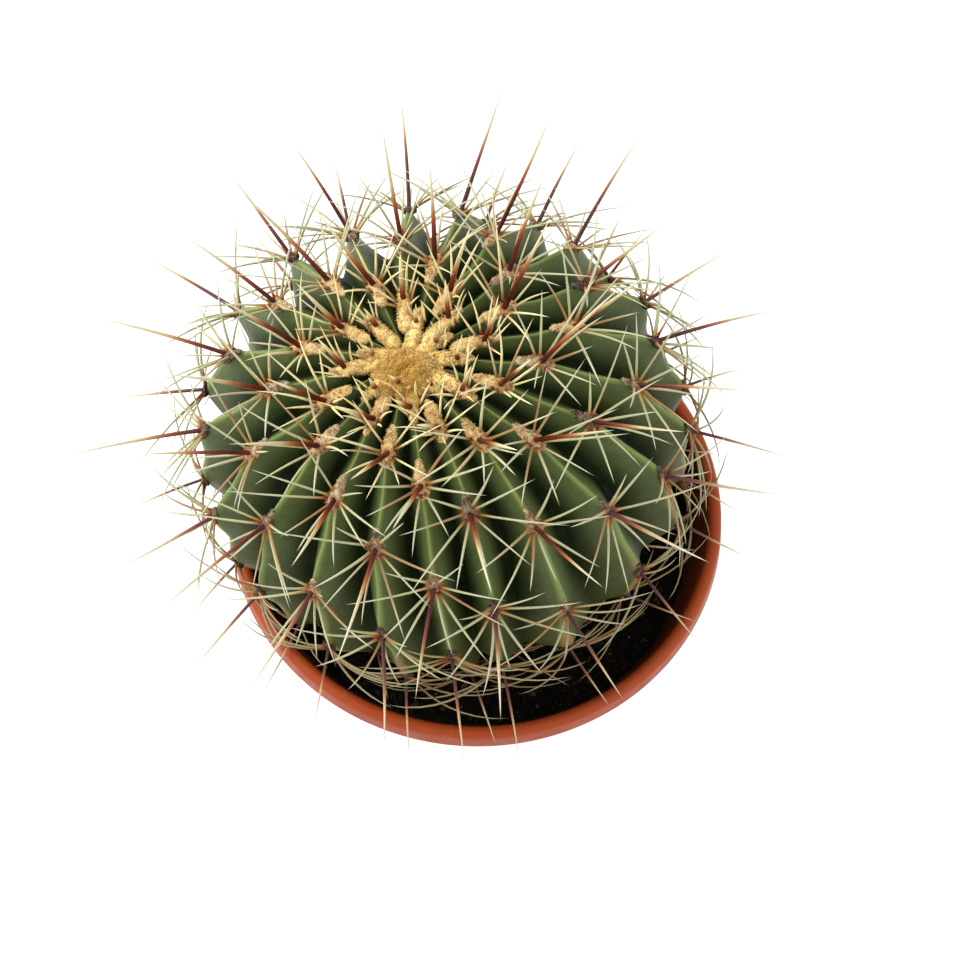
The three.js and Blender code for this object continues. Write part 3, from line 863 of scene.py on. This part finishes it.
SOIL_SEGMENTS = 360
SOIL_ROWS = 70
SOIL_SIDE_ROWS = 6
SOIL_GAP = 0.6  # between the soil and the bowl's wall
SOIL_LUMPS = (1.1, 9, 3), (0.7, 3.5, 4), (0.35, 1.6, 5)
SOIL_SUNK = 1.6
HEAP = 1.2
HEAPED = 80, 50  # from and to these distances from the plant's axis
CRUMBS = 3200
CRUMB_CORNERS = 12
CRUMBS_FROM = 45
SMALLEST_CRUMB = 0.35
CRUMB_GROWTH = 1.3
CRUMB_ROUGHNESS = 0.35
FIBRE_STRETCH = (7.0, 0.4, 0.4)
NOT_FIBRES = 0.93


def soil_height(x, y):
    """Height of the soil: lumpy, and heaped a little against the plant."""
    flat = np.stack([x, y, np.zeros_like(x)], -1)
    reach = np.hypot(x - CENTRE[0], y - CENTRE[1])
    return SOIL_TOP - SOIL_SUNK + lumps(flat, SOIL_LUMPS) + HEAP * smooth(*HEAPED, reach)


def make_soil():
    """A lumpy top, sides along the bowl's wall and a flat foot."""
    angles = even_turns(SOIL_SEGMENTS)
    rings = []
    for radius in np.linspace(2, inner_radius(SOIL_TOP) - SOIL_GAP, SOIL_ROWS):
        flat = level_ring(radius, angles, 0)
        rings.append(level_ring(radius, angles, soil_height(flat[:, 0], flat[:, 1])))
    for height in np.linspace(SOIL_TOP - 8, SOIL_FOOT + 4, SOIL_SIDE_ROWS):
        rings.append(level_ring(inner_radius(height) - SOIL_GAP, angles, height))
    foot = inner_radius(FLOOR + EDGE_ROUND) - EDGE_ROUND
    rings.append(level_ring(foot, angles, SOIL_FOOT))
    points, faces = closed_rings(np.array(rings), (0, 0, SOIL_TOP - 1), (0, 0, SOIL_FOOT))
    add_piece("soil_bed", points, faces, soil_material(), replaces="soil")


def crumb_shape():
    """A unit ball of twelve corners for the crumbs."""
    golden = (1 + 5 ** 0.5) / 2
    corners = []
    for a in (-1, 1):
        for b in (-golden, golden):
            corners += [(0, a, b), (a, b, 0), (b, 0, a)]
    corners = unit(np.array(corners, float))
    longest_edge = np.min(np.linalg.norm(corners[0] - corners[1:], axis=1)) * 1.05
    faces = []
    for trio in combinations(range(CRUMB_CORNERS), 3):
        ends = corners[list(trio)]
        if np.linalg.norm(ends - np.roll(ends, 1, 0), axis=1).max() < longest_edge:
            outward = np.dot(np.cross(ends[1] - ends[0], ends[2] - ends[0]), ends[0]) > 0
            faces.append(trio if outward else trio[::-1])
    return corners, np.array(faces)


def random_turns(count):
    """Random rotation matrices."""
    return np.array([Quaternion(q).to_matrix() for q in unit(rng.normal(size=(count, 4)))])


def make_crumbs():
    """Peat crumbs, bark chips and fibres scattered over the soil round the plant."""
    corners, faces = crumb_shape()
    angle = rng.uniform(0, 2 * pi, CRUMBS)
    reach = np.sqrt(rng.uniform(CRUMBS_FROM ** 2, (inner_radius(SOIL_TOP) - 3) ** 2, CRUMBS))
    x, y = reach * np.cos(angle), reach * np.sin(angle)
    size = SMALLEST_CRUMB + CRUMB_GROWTH * rng.uniform(0, 1, CRUMBS) ** 3
    stretch = np.ones((CRUMBS, 3))
    stretch[:, 0] = rng.uniform(0.8, 2.2, CRUMBS)
    stretch[:, 2] = rng.uniform(0.4, 1.0, CRUMBS)
    stretch[rng.uniform(size=CRUMBS) > NOT_FIBRES] = FIBRE_STRETCH
    jitter = 1 + CRUMB_ROUGHNESS * rng.uniform(-1, 1, (CRUMBS, CRUMB_CORNERS, 1))
    local = corners * jitter * (size[:, None] * stretch)[:, None]
    centres = np.stack([x, y, soil_height(x, y) + 0.25 * size], -1)
    points = np.einsum("nij,nkj->nki", random_turns(CRUMBS), local) + centres[:, None]
    shift = (np.arange(CRUMBS) * CRUMB_CORNERS)[:, None, None]
    all_faces = (faces + shift).reshape(-1, 3).tolist()
    values = {"tone": np.repeat(rng.uniform(0, 1, CRUMBS), CRUMB_CORNERS)}
    points = points.reshape(-1, 3)
    add_piece("soil_crumbs", points, all_faces, crumb_material(), values, smooth_faces=False)


# ---- plant body

BODY_ROWS = 168
BODY_FROM = 0.012  # angle from the crown
HALF_RIB_COLUMNS = 13
CREST_ROUNDING = 0.07
SKIN_LUMPS = (0.55, 16, 7), (0.22, 5, 8)
SHALLOWEST_GROOVE_SHADE = 0.35  # how deep the painted groove shade makes the shallowest groove look, as a share


def make_body():
    """The ribbed globe, with narrow rounded crests and deep sharp grooves."""
    half = (np.arange(HALF_RIB_COLUMNS + 1) / HALF_RIB_COLUMNS) ** 1.5 / 2
    one_rib = np.concatenate([-half[:0:-1], half[:-1]])
    ribs = (np.arange(RIBS)[:, None] + one_rib).ravel()
    rib, angle = np.meshgrid(ribs, np.linspace(BODY_FROM, LOWEST_RING, BODY_ROWS))
    aside = rib - np.round(rib + 1e-9)
    # depth runs from 0 on the crests to 1 in the grooves, less where grooves are shallow; among other
    # things it sets the skin's painted groove shade
    depth = 2 * np.abs(aside) * (SHALLOWEST_GROOVE_SHADE + (1 - SHALLOWEST_GROOVE_SHADE) * groove_share(angle) / GROOVE_SHARE)
    plain = plant_point(rib, angle, CREST_ROUNDING)
    rough = lumps(plain, SKIN_LUMPS) * smooth(0.2, 0.6, angle)
    rings = plant_point(rib, angle, CREST_ROUNDING, rough)
    foot = np.array(PLANT_TILT @ Vector((0, 0, -DROP)))
    points, faces = closed_rings(rings[:, ::-1], crown_point(0.0, 0.0, -1.0), foot)
    values = {}
    for key, grid in (("depth", depth), ("age", areole_count_at(angle) / OLDEST)):
        end_values = [grid[0].mean(), grid[-1].mean()]
        values[key] = np.concatenate([grid[:, ::-1].ravel(), end_values])
    add_piece("cactus_body", points, faces, skin_material(), values, replaces="cactus")


# ---- areoles

PAD_RINGS = 16
PAD_COLUMNS = 18
PAD_SPINES_AT = 0.34  # share of the pad's length from its foot to the spines
PAD_OVERHANG = 0.02
PAD_SINK = 0.3
PAD_LUMPS = (0.6, 1.9, 11), (0.35, 0.9, 12)
LAST_ARM = -4  # areole number: up to here the felt is an arm of the crown's wool
SPROUTED = 3
CUSHIONS_FROM = 34
SMALL_FELT_FROM = 52
YOUNG_FLUFF = 190  # tufts on each areole
YOUNG_FLUFF_UNTIL = 30
OLD_FLUFF = 90
PIT_AT = 0.74
STAIN_REACH = 1.3
LOBE_STAIN_REACH = 2.6


def youth(k, until):
    """1 on the areoles of the wool's arms, and 0 from areole number until on."""
    return float(1 - smooth(LAST_ARM, until, k))


def woolliness(k):
    """1 on the youngest areoles, whose felt is one long lobe, and 0 on the grown ones."""
    return youth(k, CUSHIONS_FROM)


def pad_half_width(place, k):
    """Share of areole k's half width along it: round spine cushion and tail, or one long lobe."""
    cushion = np.sqrt(np.clip(1 - ((place - 0.33) / 0.33) ** 2, 0, 1))
    tail = 0.4 * np.sqrt(np.clip(1 - ((place - 0.62) / 0.38) ** 2, 0, 1))
    sprouting = youth(k, SPROUTED)
    lobe = (0.88 - 0.3 * place) * (1 - sprouting) + (0.42 + 0.5 * place) * sprouting
    lobe = lobe * np.sqrt(np.clip(1 - np.abs(2 * place - 1) ** 3, 0, 1))
    woolly = woolliness(k)
    return np.maximum(np.maximum(cushion, tail) * (1 - woolly) + lobe * woolly, 0.02)


def pad_size(k):
    """Length, half width and height of areole k's felt."""
    young = youth(k, SMALL_FELT_FROM)
    return 9.5 + 6.5 * young + 3.5 * youth(k, SPROUTED), 2.8 + 0.8 * young, 1.2 + 1.0 * young


def pad_section(k, place):
    """Half width and height of areole k's felt at shares of the way along it."""
    _, half_width, height = pad_size(k)
    share = pad_half_width(place, k)
    return half_width * share, height * share ** 0.8


def pad_mesh(k, lift=0.0):
    """Points, faces, pit marks and root stains of the felt on areole k."""
    point, out, down, aside = crest_frame(k)
    point = point + lift * out
    length = pad_size(k)[0]
    around = even_turns(PAD_COLUMNS)
    place = (1 - np.cos(np.linspace(0.12, pi - 0.12, PAD_RINGS))) / 2
    width, rise = pad_section(k, place)
    along = (place - PAD_SPINES_AT) * length
    ring_across = width[:, None] * np.cos(around)
    ring_out = rise[:, None] * np.sin(around) - PAD_SINK
    centre = point - down * along[:, None, None]
    rings = centre + aside * ring_across[..., None] + out * ring_out[..., None]
    rings = rings + unit(rings - centre) * lumps(rings, PAD_LUMPS)[..., None]
    first = point + down * (PAD_SPINES_AT + PAD_OVERHANG) * length - PAD_SINK * out
    last = point - down * (1 + PAD_OVERHANG - PAD_SPINES_AT) * length - PAD_SINK * out
    points, faces = closed_rings(rings, first, last)
    top = np.clip(np.sin(around), 0, 1) ** 4
    pit_place = PIT_AT + 0.08 * spread(k, PIT_DRAW)
    pit = np.exp(-(((place - pit_place) * length / 0.9) ** 2))[:, None] * top
    heart = np.exp(-(along ** 2))[:, None] * top
    marks = np.concatenate([np.clip(pit + heart, 0, 1).ravel(), [0, 0]])
    return points, faces, marks, root_stain(k, points, point, down, aside)


def root_stain(k, points, point, down, aside):
    """1 on the felt right beside a spine and 0 away from them all."""
    nearest = np.full(len(points), np.inf)
    for angle in fan_angles(k):
        root = point + fan_root(k, angle, down, aside)
        nearest = np.minimum(nearest, np.linalg.norm(points - root, axis=-1))
    from_middle = np.linalg.norm(points - point, axis=-1)
    lobe_stain = woolliness(k) * np.exp(-((from_middle / LOBE_STAIN_REACH) ** 2))
    return np.maximum(np.exp(-((nearest / STAIN_REACH) ** 2)), lobe_stain)


def joined(meshes):
    """One list of points and one of faces from several (points, faces) pairs."""
    all_points, all_faces, start = [], [], 0
    for points, faces in meshes:
        all_points.append(points)
        all_faces += [[i + start for i in face] for face in faces]
        start += len(points)
    return np.concatenate(all_points), all_faces


def make_pads(areoles):
    """Felt pads, one on each areole."""
    pads = [pad_mesh(k) for k in areoles]
    points, faces = joined([pad[:2] for pad in pads])
    values = {
        "age": np.repeat([felt_age(k) for k in areoles], len(pads[0][0])),
        "pit": np.concatenate([pad[2] for pad in pads]),
        "stain": np.concatenate([pad[3] for pad in pads]),
    }
    add_piece("areole_pads", points, faces, felt_material(), values)


def areole_age(k):
    """0 at the crown's edge and 1 at the oldest areole."""
    return max(k, 0) / OLDEST


def felt_age(k):
    """How weathered areole k's felt is: its age, give or take."""
    return float(np.clip(areole_age(k) * (1 + 0.6 * spread(k, FELT_DRAW)), 0, 1))


def fluff_roots(k, count, lift=0.0):
    """Places all over areole k's felt and the directions straight out of it there."""
    point, out, down, aside = crest_frame(k)
    place = rng.uniform(0.02, 0.99, count)
    angle = rng.uniform(-0.15 * pi, 1.15 * pi, count)
    width, rise = pad_section(k, place)
    across, up = np.cos(angle)[:, None], np.sin(angle)[:, None]
    middle = point + lift * out - down * ((place - PAD_SPINES_AT) * pad_size(k)[0])[:, None]
    surface = middle + aside * (width[:, None] * across) + out * (rise[:, None] * up - PAD_SINK)
    return surface, aside * across + out * up


def tufts(spots, shortest, longest, thinnest, thickest):
    """Short curled tufts of felt, rooted just under a surface, and each point's tuft."""
    roots, spokes = (np.concatenate(part) for part in zip(*spots))
    count = len(roots)
    starts = unit(spokes + 0.7 * rng.normal(size=(count, 3)))
    bends = rng.normal(size=(count, 3))
    angles = rng.uniform(1.2, 3.2, count)
    lengths = rng.uniform(shortest, longest, count)
    radii = rng.uniform(thinnest, thickest, count)
    roots = roots - 0.3 * starts
    points, faces, _, owner = tubes(roots, starts, bends, angles, lengths, radii, tapered_hair, 2, 3)
    return points, faces, owner


def make_fluff(areoles):
    """Short tufts that stand out of the areole felt, most of them on the young ones."""
    counts = [YOUNG_FLUFF if k < YOUNG_FLUFF_UNTIL else OLD_FLUFF for k in areoles]
    spots = [fluff_roots(k, count) for k, count in zip(areoles, counts)]
    points, faces, owner = tufts(spots, 0.7, 1.5, 0.2, 0.34)
    ages = np.repeat([felt_age(k) for k in areoles], counts)
    blank = np.zeros(len(points))
    values = {"age": ages[owner], "pit": blank, "stain": blank}
    add_piece("areole_fluff", points, faces, felt_material(), values)


# ---- spines

CENTRAL_LEAN = 22  # degrees down the rib once grown
CENTRAL_GIRTH = 0.8
CENTRAL_SINK = 1.0
RADIAL_GIRTH = 0.49
RADIAL_SINK = 0.8
FAN_STEP = 33  # degrees
SPROUT_FAN = radians(80)  # the youngest areoles' fans reach no further round than this
WORN_FROM_UNTIL = 0.34, 0.56  # ages
CURLED_FROM_UNTIL = 0.3, 0.6
CLEAR = 1.2  # kept between spines and the bowl

# A spine bends evenly, by its angle in all, and swings along its way_out where it has no room.
Spine = namedtuple("Spine", "root chord bend angle length radius tone age way_out")


def growth_of(k):
    """How far areole k's spines have grown, from a quarter to 1."""
    return min(max((k - SPROUT_FROM) / (FULL_GROWN_FROM - SPROUT_FROM), 0.25), 1)


def wear_of(k):
    """0 on the plant's upper half and 1 near its foot, where old spines are few and lie low."""
    return float(smooth(*WORN_FROM_UNTIL, areole_age(k)))


def fan_angles(k):
    """Directions of areole k's radial spines, from straight down the rib."""
    middle = (FAN_COUNT - 1) / 2
    return [radians(FAN_STEP * (i - middle) + 12 * spread(k, FAN_DRAW + i)) for i in range(FAN_COUNT)]


def fan_root(k, angle, down, aside):
    """Where the radial at an angle of areole k's fan leaves it, from the areole's middle."""
    half_width = pad_size(k)[1]
    return down * (1.05 * half_width * cos(angle)) + aside * (0.82 * half_width * sin(angle))


def central_spine(k):
    """The long straight spine from the middle of areole k."""
    point, out, down, aside = crest_frame(k)
    growth, worn = growth_of(k), wear_of(k)
    lean = radians(CENTRAL_LEAN * growth + 6 * spread(k, LEAN_DRAW))
    swing = radians(13 * spread(k, SWING_DRAW))
    chord = out * cos(lean) * cos(swing) + down * sin(lean) * cos(swing) + aside * sin(swing)
    share = growth * (1 + 0.16 * spread(k, SIZE_DRAW)) * (1.05 - 0.35 * worn)
    return Spine(
        root=point - CENTRAL_SINK * chord,
        chord=chord,
        bend=-out + aside * spread(k, TURN_DRAW),
        angle=radians(3 + 6 * draw(k, CURVE_DRAW)),
        length=CENTRAL_LENGTH * share + CENTRAL_SINK,
        radius=CENTRAL_GIRTH + 0.25 * woolliness(k) - 0.22 * worn,
        tone=draw(k, SHADE_DRAW),
        age=areole_age(k),
        way_out=np.zeros(3),
    )


def radial_spine(k, i, angle):
    """The radial spine in place i of areole k's fan, which points along an angle of the fan."""
    point, out, down, aside = crest_frame(k)
    growth, worn, woolly = growth_of(k), wear_of(k), woolliness(k)
    degrees = 27 * (1 - worn) + 38 * (1 - growth) + 20 * woolly
    rise = radians(degrees + (10 + 4 * worn) * spread(k, RISE_DRAW + i))
    level = copysign(pi / 2, angle)
    swept = angle + worn * (0.75 * (level - angle) + 0.3 * spread(k, SWEEP_DRAW + i))
    sideways = down * cos(swept) + aside * sin(swept)
    chord = out * sin(rise) + sideways * cos(rise)
    root = point + fan_root(k, angle, down, aside) + out * (0.3 * pad_size(k)[2])
    topmost = i in (0, FAN_COUNT - 1)
    share = 0.62 + 0.22 * woolly if topmost else 0.72 + 0.32 * abs(sin(angle))
    share = share * (1 + 0.24 * spread(k, LENGTH_DRAW + i)) * (1 + 0.3 * worn * abs(sin(angle)))
    girth = (0.85 + 0.15 * growth) * (1 + 0.15 * spread(k, GIRTH_DRAW + i))
    return Spine(
        root=root - RADIAL_SINK * chord,
        chord=chord,
        bend=-out + 0.6 * spread(k, VEER_DRAW + i) * np.cross(out, sideways),
        angle=radians(6 + 20 * draw(k, BEND_DRAW + i) + 38 * smooth(*CURLED_FROM_UNTIL, areole_age(k))),
        length=RADIAL_LENGTH * growth ** 0.8 * share + RADIAL_SINK,
        radius=(RADIAL_GIRTH - 0.05 * worn) * girth,
        tone=draw(k, TONE_DRAW + i),
        age=areole_age(k),
        way_out=aside * np.sign(angle),
    )


def radial_spines(k):
    """The radials of areole k, without those that a sprout hasn't got or an old one has lost."""
    kept = []
    for i, angle in enumerate(fan_angles(k)):
        hidden = k < YOUNGEST_ON_RIBS and abs(angle) > SPROUT_FAN
        lost = draw(k, LOSS_DRAW + i) < (0.15 + 0.65 * max(cos(angle), 0)) * wear_of(k)
        if not hidden and not lost:
            kept.append(radial_spine(k, i, angle))
    return kept


def arc_start(chord, bend, angle):
    """Start direction of an arc whose ends lie along chord, and the direction it bends in."""
    bend = unit(bend - chord * np.dot(bend, chord))
    start = chord * cos(angle / 2) - bend * sin(angle / 2)
    side = chord * sin(angle / 2) + bend * cos(angle / 2)
    return start, side


def arc_points(spine, chord, length, steps=16):
    """Points along a spine's arc, for a chord direction and a length."""
    start, bend = arc_start(chord, spine.bend, spine.angle)
    swept = spine.angle * np.linspace(0, 1, steps)[:, None]
    reach = length / spine.angle
    return spine.root + reach * np.sin(swept) * start + reach * (1 - np.cos(swept)) * bend


def runs_into_pot(points):
    """True where an arc meets the bowl or the soil."""
    reach = np.hypot(points[:, 0], points[:, 1])
    z = points[:, 2]
    face = np.where(z < POT_HEIGHT - BAND_HEIGHT, inner_radius(z), LIP_RADIUS)
    inside = (z < POT_HEIGHT + CLEAR) & (reach < RIM_RADIUS + CLEAR)
    return bool(np.any(inside & ((reach > face - CLEAR) | (z < SOIL_TOP + 0.5))))


def cleared(spine):
    """The chord and length with which a spine swings clear of the bowl and soil, or None."""
    for share in (1, 0.85, 0.7, 0.5):
        for push in range(9):
            lift = np.array([0, 0, 0.1 * push])
            chord = unit(spine.chord + lift + 0.22 * push * spine.way_out)
            if not runs_into_pot(arc_points(spine, chord, spine.length * share)):
                return chord, spine.length * share
    return None


def make_spines(name, spines, material, taper, steps, sides):
    """One piece of all the spines in a list that have room."""
    kept = []
    for spine in spines:
        clear = cleared(spine)
        if clear:
            chord, length = clear
            start, bend = arc_start(chord, spine.bend, spine.angle)
            kept.append((spine.root, start, bend, spine.angle, length, spine.radius, spine.tone, spine.age))
    *arcs, tones, ages = (np.array(column) for column in zip(*kept))
    points, faces, along, owner = tubes(*arcs, taper, steps, sides)
    values = {"along": along, "tone": tones[owner], "age": ages[owner]}
    add_piece(name, points, faces, material, values)


# ---- crown wool

WOOL_REACH = 0.15
WOOL_RAGGED = 0.3
WOOL_THICKNESS = 3.4
WOOL_EDGE = 0.9
WOOL_UNDERSIDE = 1.5
WOOL_COLUMNS = 12  # per rib
WOOL_ROWS = 22
WOOL_LOW_ROWS = 4
WOOL_LUMPS = (1.1, 2.6, 21), (0.6, 1.3, 22)
WOOL_TUFTS = 7500
WOOL_FORWARD = 5.0  # how far the wool's middle lies in front of the crown
WOOL_SPAN = 20
ARMS = range(YOUNGEST, LAST_ARM + 1)
ARM_TUFTS = 420  # on each arm
ARM_LIFT = 1.2
FRONT = unit(np.array([-0.2, -1.0, 0.0]))
WOOL_SHIFT = WOOL_FORWARD * unit(FRONT - CROWN_AXIS * np.dot(FRONT, CROWN_AXIS))


def wool_edge(rib):
    """Angle from the wool's middle to its ragged edge, in the direction of a rib."""
    ring = level_ring(1.0, 2 * pi * np.asarray(rib) / RIBS, 0)
    return WOOL_REACH * (1 + WOOL_RAGGED * noise(ring, 0.35, 23))


def wool_surface(rib, share):
    """A point on top of the lumpy wool at a share of the way from the crown to its edge."""
    dish = WOOL_THICKNESS * smooth(-0.7, 0.5, share) * (1 - share ** 3)
    even = crown_point(rib, wool_edge(rib) * share, WOOL_EDGE + dish) + WOOL_SHIFT
    return even + lumps(even, WOOL_LUMPS)[..., None] * CROWN_AXIS


def wool_away(points):
    """0 at the crown and 1 at the ends of the arms."""
    return np.clip(np.linalg.norm(points - CROWN - 1.4 * WOOL_SHIFT, axis=-1) / WOOL_SPAN, 0, 1)


def make_wool():
    """The woolly tip: a lumpy disc with an arm of felt out to each of the youngest areoles."""
    rib = np.arange(RIBS * WOOL_COLUMNS) / WOOL_COLUMNS
    over = wool_surface(*np.meshgrid(rib, np.linspace(0.03, 1, WOOL_ROWS)))
    low_rib, share = np.meshgrid(rib, np.linspace(1, 0.1, WOOL_LOW_ROWS))
    under = crown_point(low_rib, wool_edge(low_rib) * share, -WOOL_UNDERSIDE) + WOOL_SHIFT
    rings = np.concatenate([over, under])[:, ::-1]
    middle = CROWN + WOOL_SHIFT
    disc = closed_rings(rings, middle + CROWN_AXIS * WOOL_EDGE, middle - CROWN_AXIS * WOOL_UNDERSIDE)
    points, faces = joined([disc] + [pad_mesh(k, ARM_LIFT)[:2] for k in ARMS])
    values = {"away": wool_away(points)}
    add_piece("crown_wool_pad", points, faces, wool_material(), values, replaces="crown_wool")


def make_wool_tufts():
    """Curled tufts all over the woolly tip and its arms."""
    rib = rng.uniform(0, RIBS, WOOL_TUFTS)
    share = np.sqrt(rng.uniform(0, 1, WOOL_TUFTS))
    surface = wool_surface(rib, share)
    spots = [(surface, unit(surface - CROWN - WOOL_SHIFT + 30 * CROWN_AXIS))]
    spots += [fluff_roots(k, ARM_TUFTS, ARM_LIFT) for k in ARMS]
    points, faces, _ = tufts(spots, 0.9, 2.0, 0.22, 0.4)
    values = {"away": wool_away(points)}
    add_piece("crown_wool_tufts", points, faces, wool_material(), values)


# ---- stage

CAMERA_ELEVATION = 63.84  # degrees
CAMERA_ROLL = 2.2
CAMERA_SHIFT = Vector((3.33, 7.97, 900.0))  # to its right, its top and backwards
SENSOR = 36.0
LENS = 82.39
VIEW_DEPTH = 20  # metres
FLOOR_REACH = 6.0  # metres
LIT_HEIGHT = 0.12  # metres


def make_camera():
    """A camera that looks down at the middle of the bowl's rim."""
    data = bpy.data.cameras.new("camera")
    data.sensor_width = SENSOR
    data.lens = LENS
    data.clip_end = VIEW_DEPTH
    camera = add_object("camera", data)
    camera.matrix_world = (
        Matrix.Translation((0, 0, POT_HEIGHT * MM))
        @ Matrix.Rotation(radians(90 - CAMERA_ELEVATION), 4, "X")
        @ Matrix.Rotation(radians(CAMERA_ROLL), 4, "Z")
        @ Matrix.Translation(CAMERA_SHIFT * MM)
    )
    bpy.context.scene.camera = camera


def add_softbox(name, place, size, power):
    """A square area light that looks at the plant from a place in metres."""
    data = bpy.data.lights.new(name, "AREA")
    data.size = size
    data.energy = power
    away = Vector(place) - Vector((0, 0, LIT_HEIGHT))
    turn = away.to_track_quat("Z", "Y").to_matrix().to_4x4()
    add_object(name, data).matrix_world = Matrix.Translation(place) @ turn


def make_stage():
    """A pale floor, even white light from all round, and two soft lamps."""
    mesh = bpy.data.meshes.new("floor")
    corners = [(x * FLOOR_REACH, y * FLOOR_REACH, 0) for x, y in ((-1, -1), (1, -1), (1, 1), (-1, 1))]
    mesh.from_pydata(corners, [], [[0, 1, 2, 3]])
    mesh.materials.append(floor_material())
    floor = add_object("floor", mesh)
    world = bpy.data.worlds.new("studio")
    world.use_nodes = True
    background = world.node_tree.nodes["Background"]
    background.inputs["Color"].default_value = (1, 1, 1, 1)
    background.inputs["Strength"].default_value = 1.0
    bpy.context.scene.world = world
    add_softbox("key", (-1.35, 0.45, 1.2), 1.6, 50)
    add_softbox("fill", (1.3, -0.6, 1.0), 1.6, 10)
    bpy.context.scene.view_settings.view_transform = "Standard"


# ---- assembly

def stands_clear(k):
    """True for an areole well above the soil."""
    return plant_point(rib_of(k), areole_angle(k))[2] > SOIL_TOP + 5


make_camera()
make_stage()
make_bowl()
make_soil()
make_crumbs()
make_body()
areoles = [k for k in range(YOUNGEST_ON_RIBS, OLDEST + 1) if stands_clear(k)]
make_pads(areoles)
make_fluff(areoles)
spiny = [*range(YOUNGEST, YOUNGEST_ON_RIBS), *areoles]
centrals = [central_spine(k) for k in spiny]
radials = [spine for k in spiny for spine in radial_spines(k)]
make_spines("central_spines", centrals, central_material(), tapered_spine, 14, 8)
make_spines("radial_spines", radials, radial_material(), tapered_radial, 10, 6)
make_wool()
make_wool_tufts()
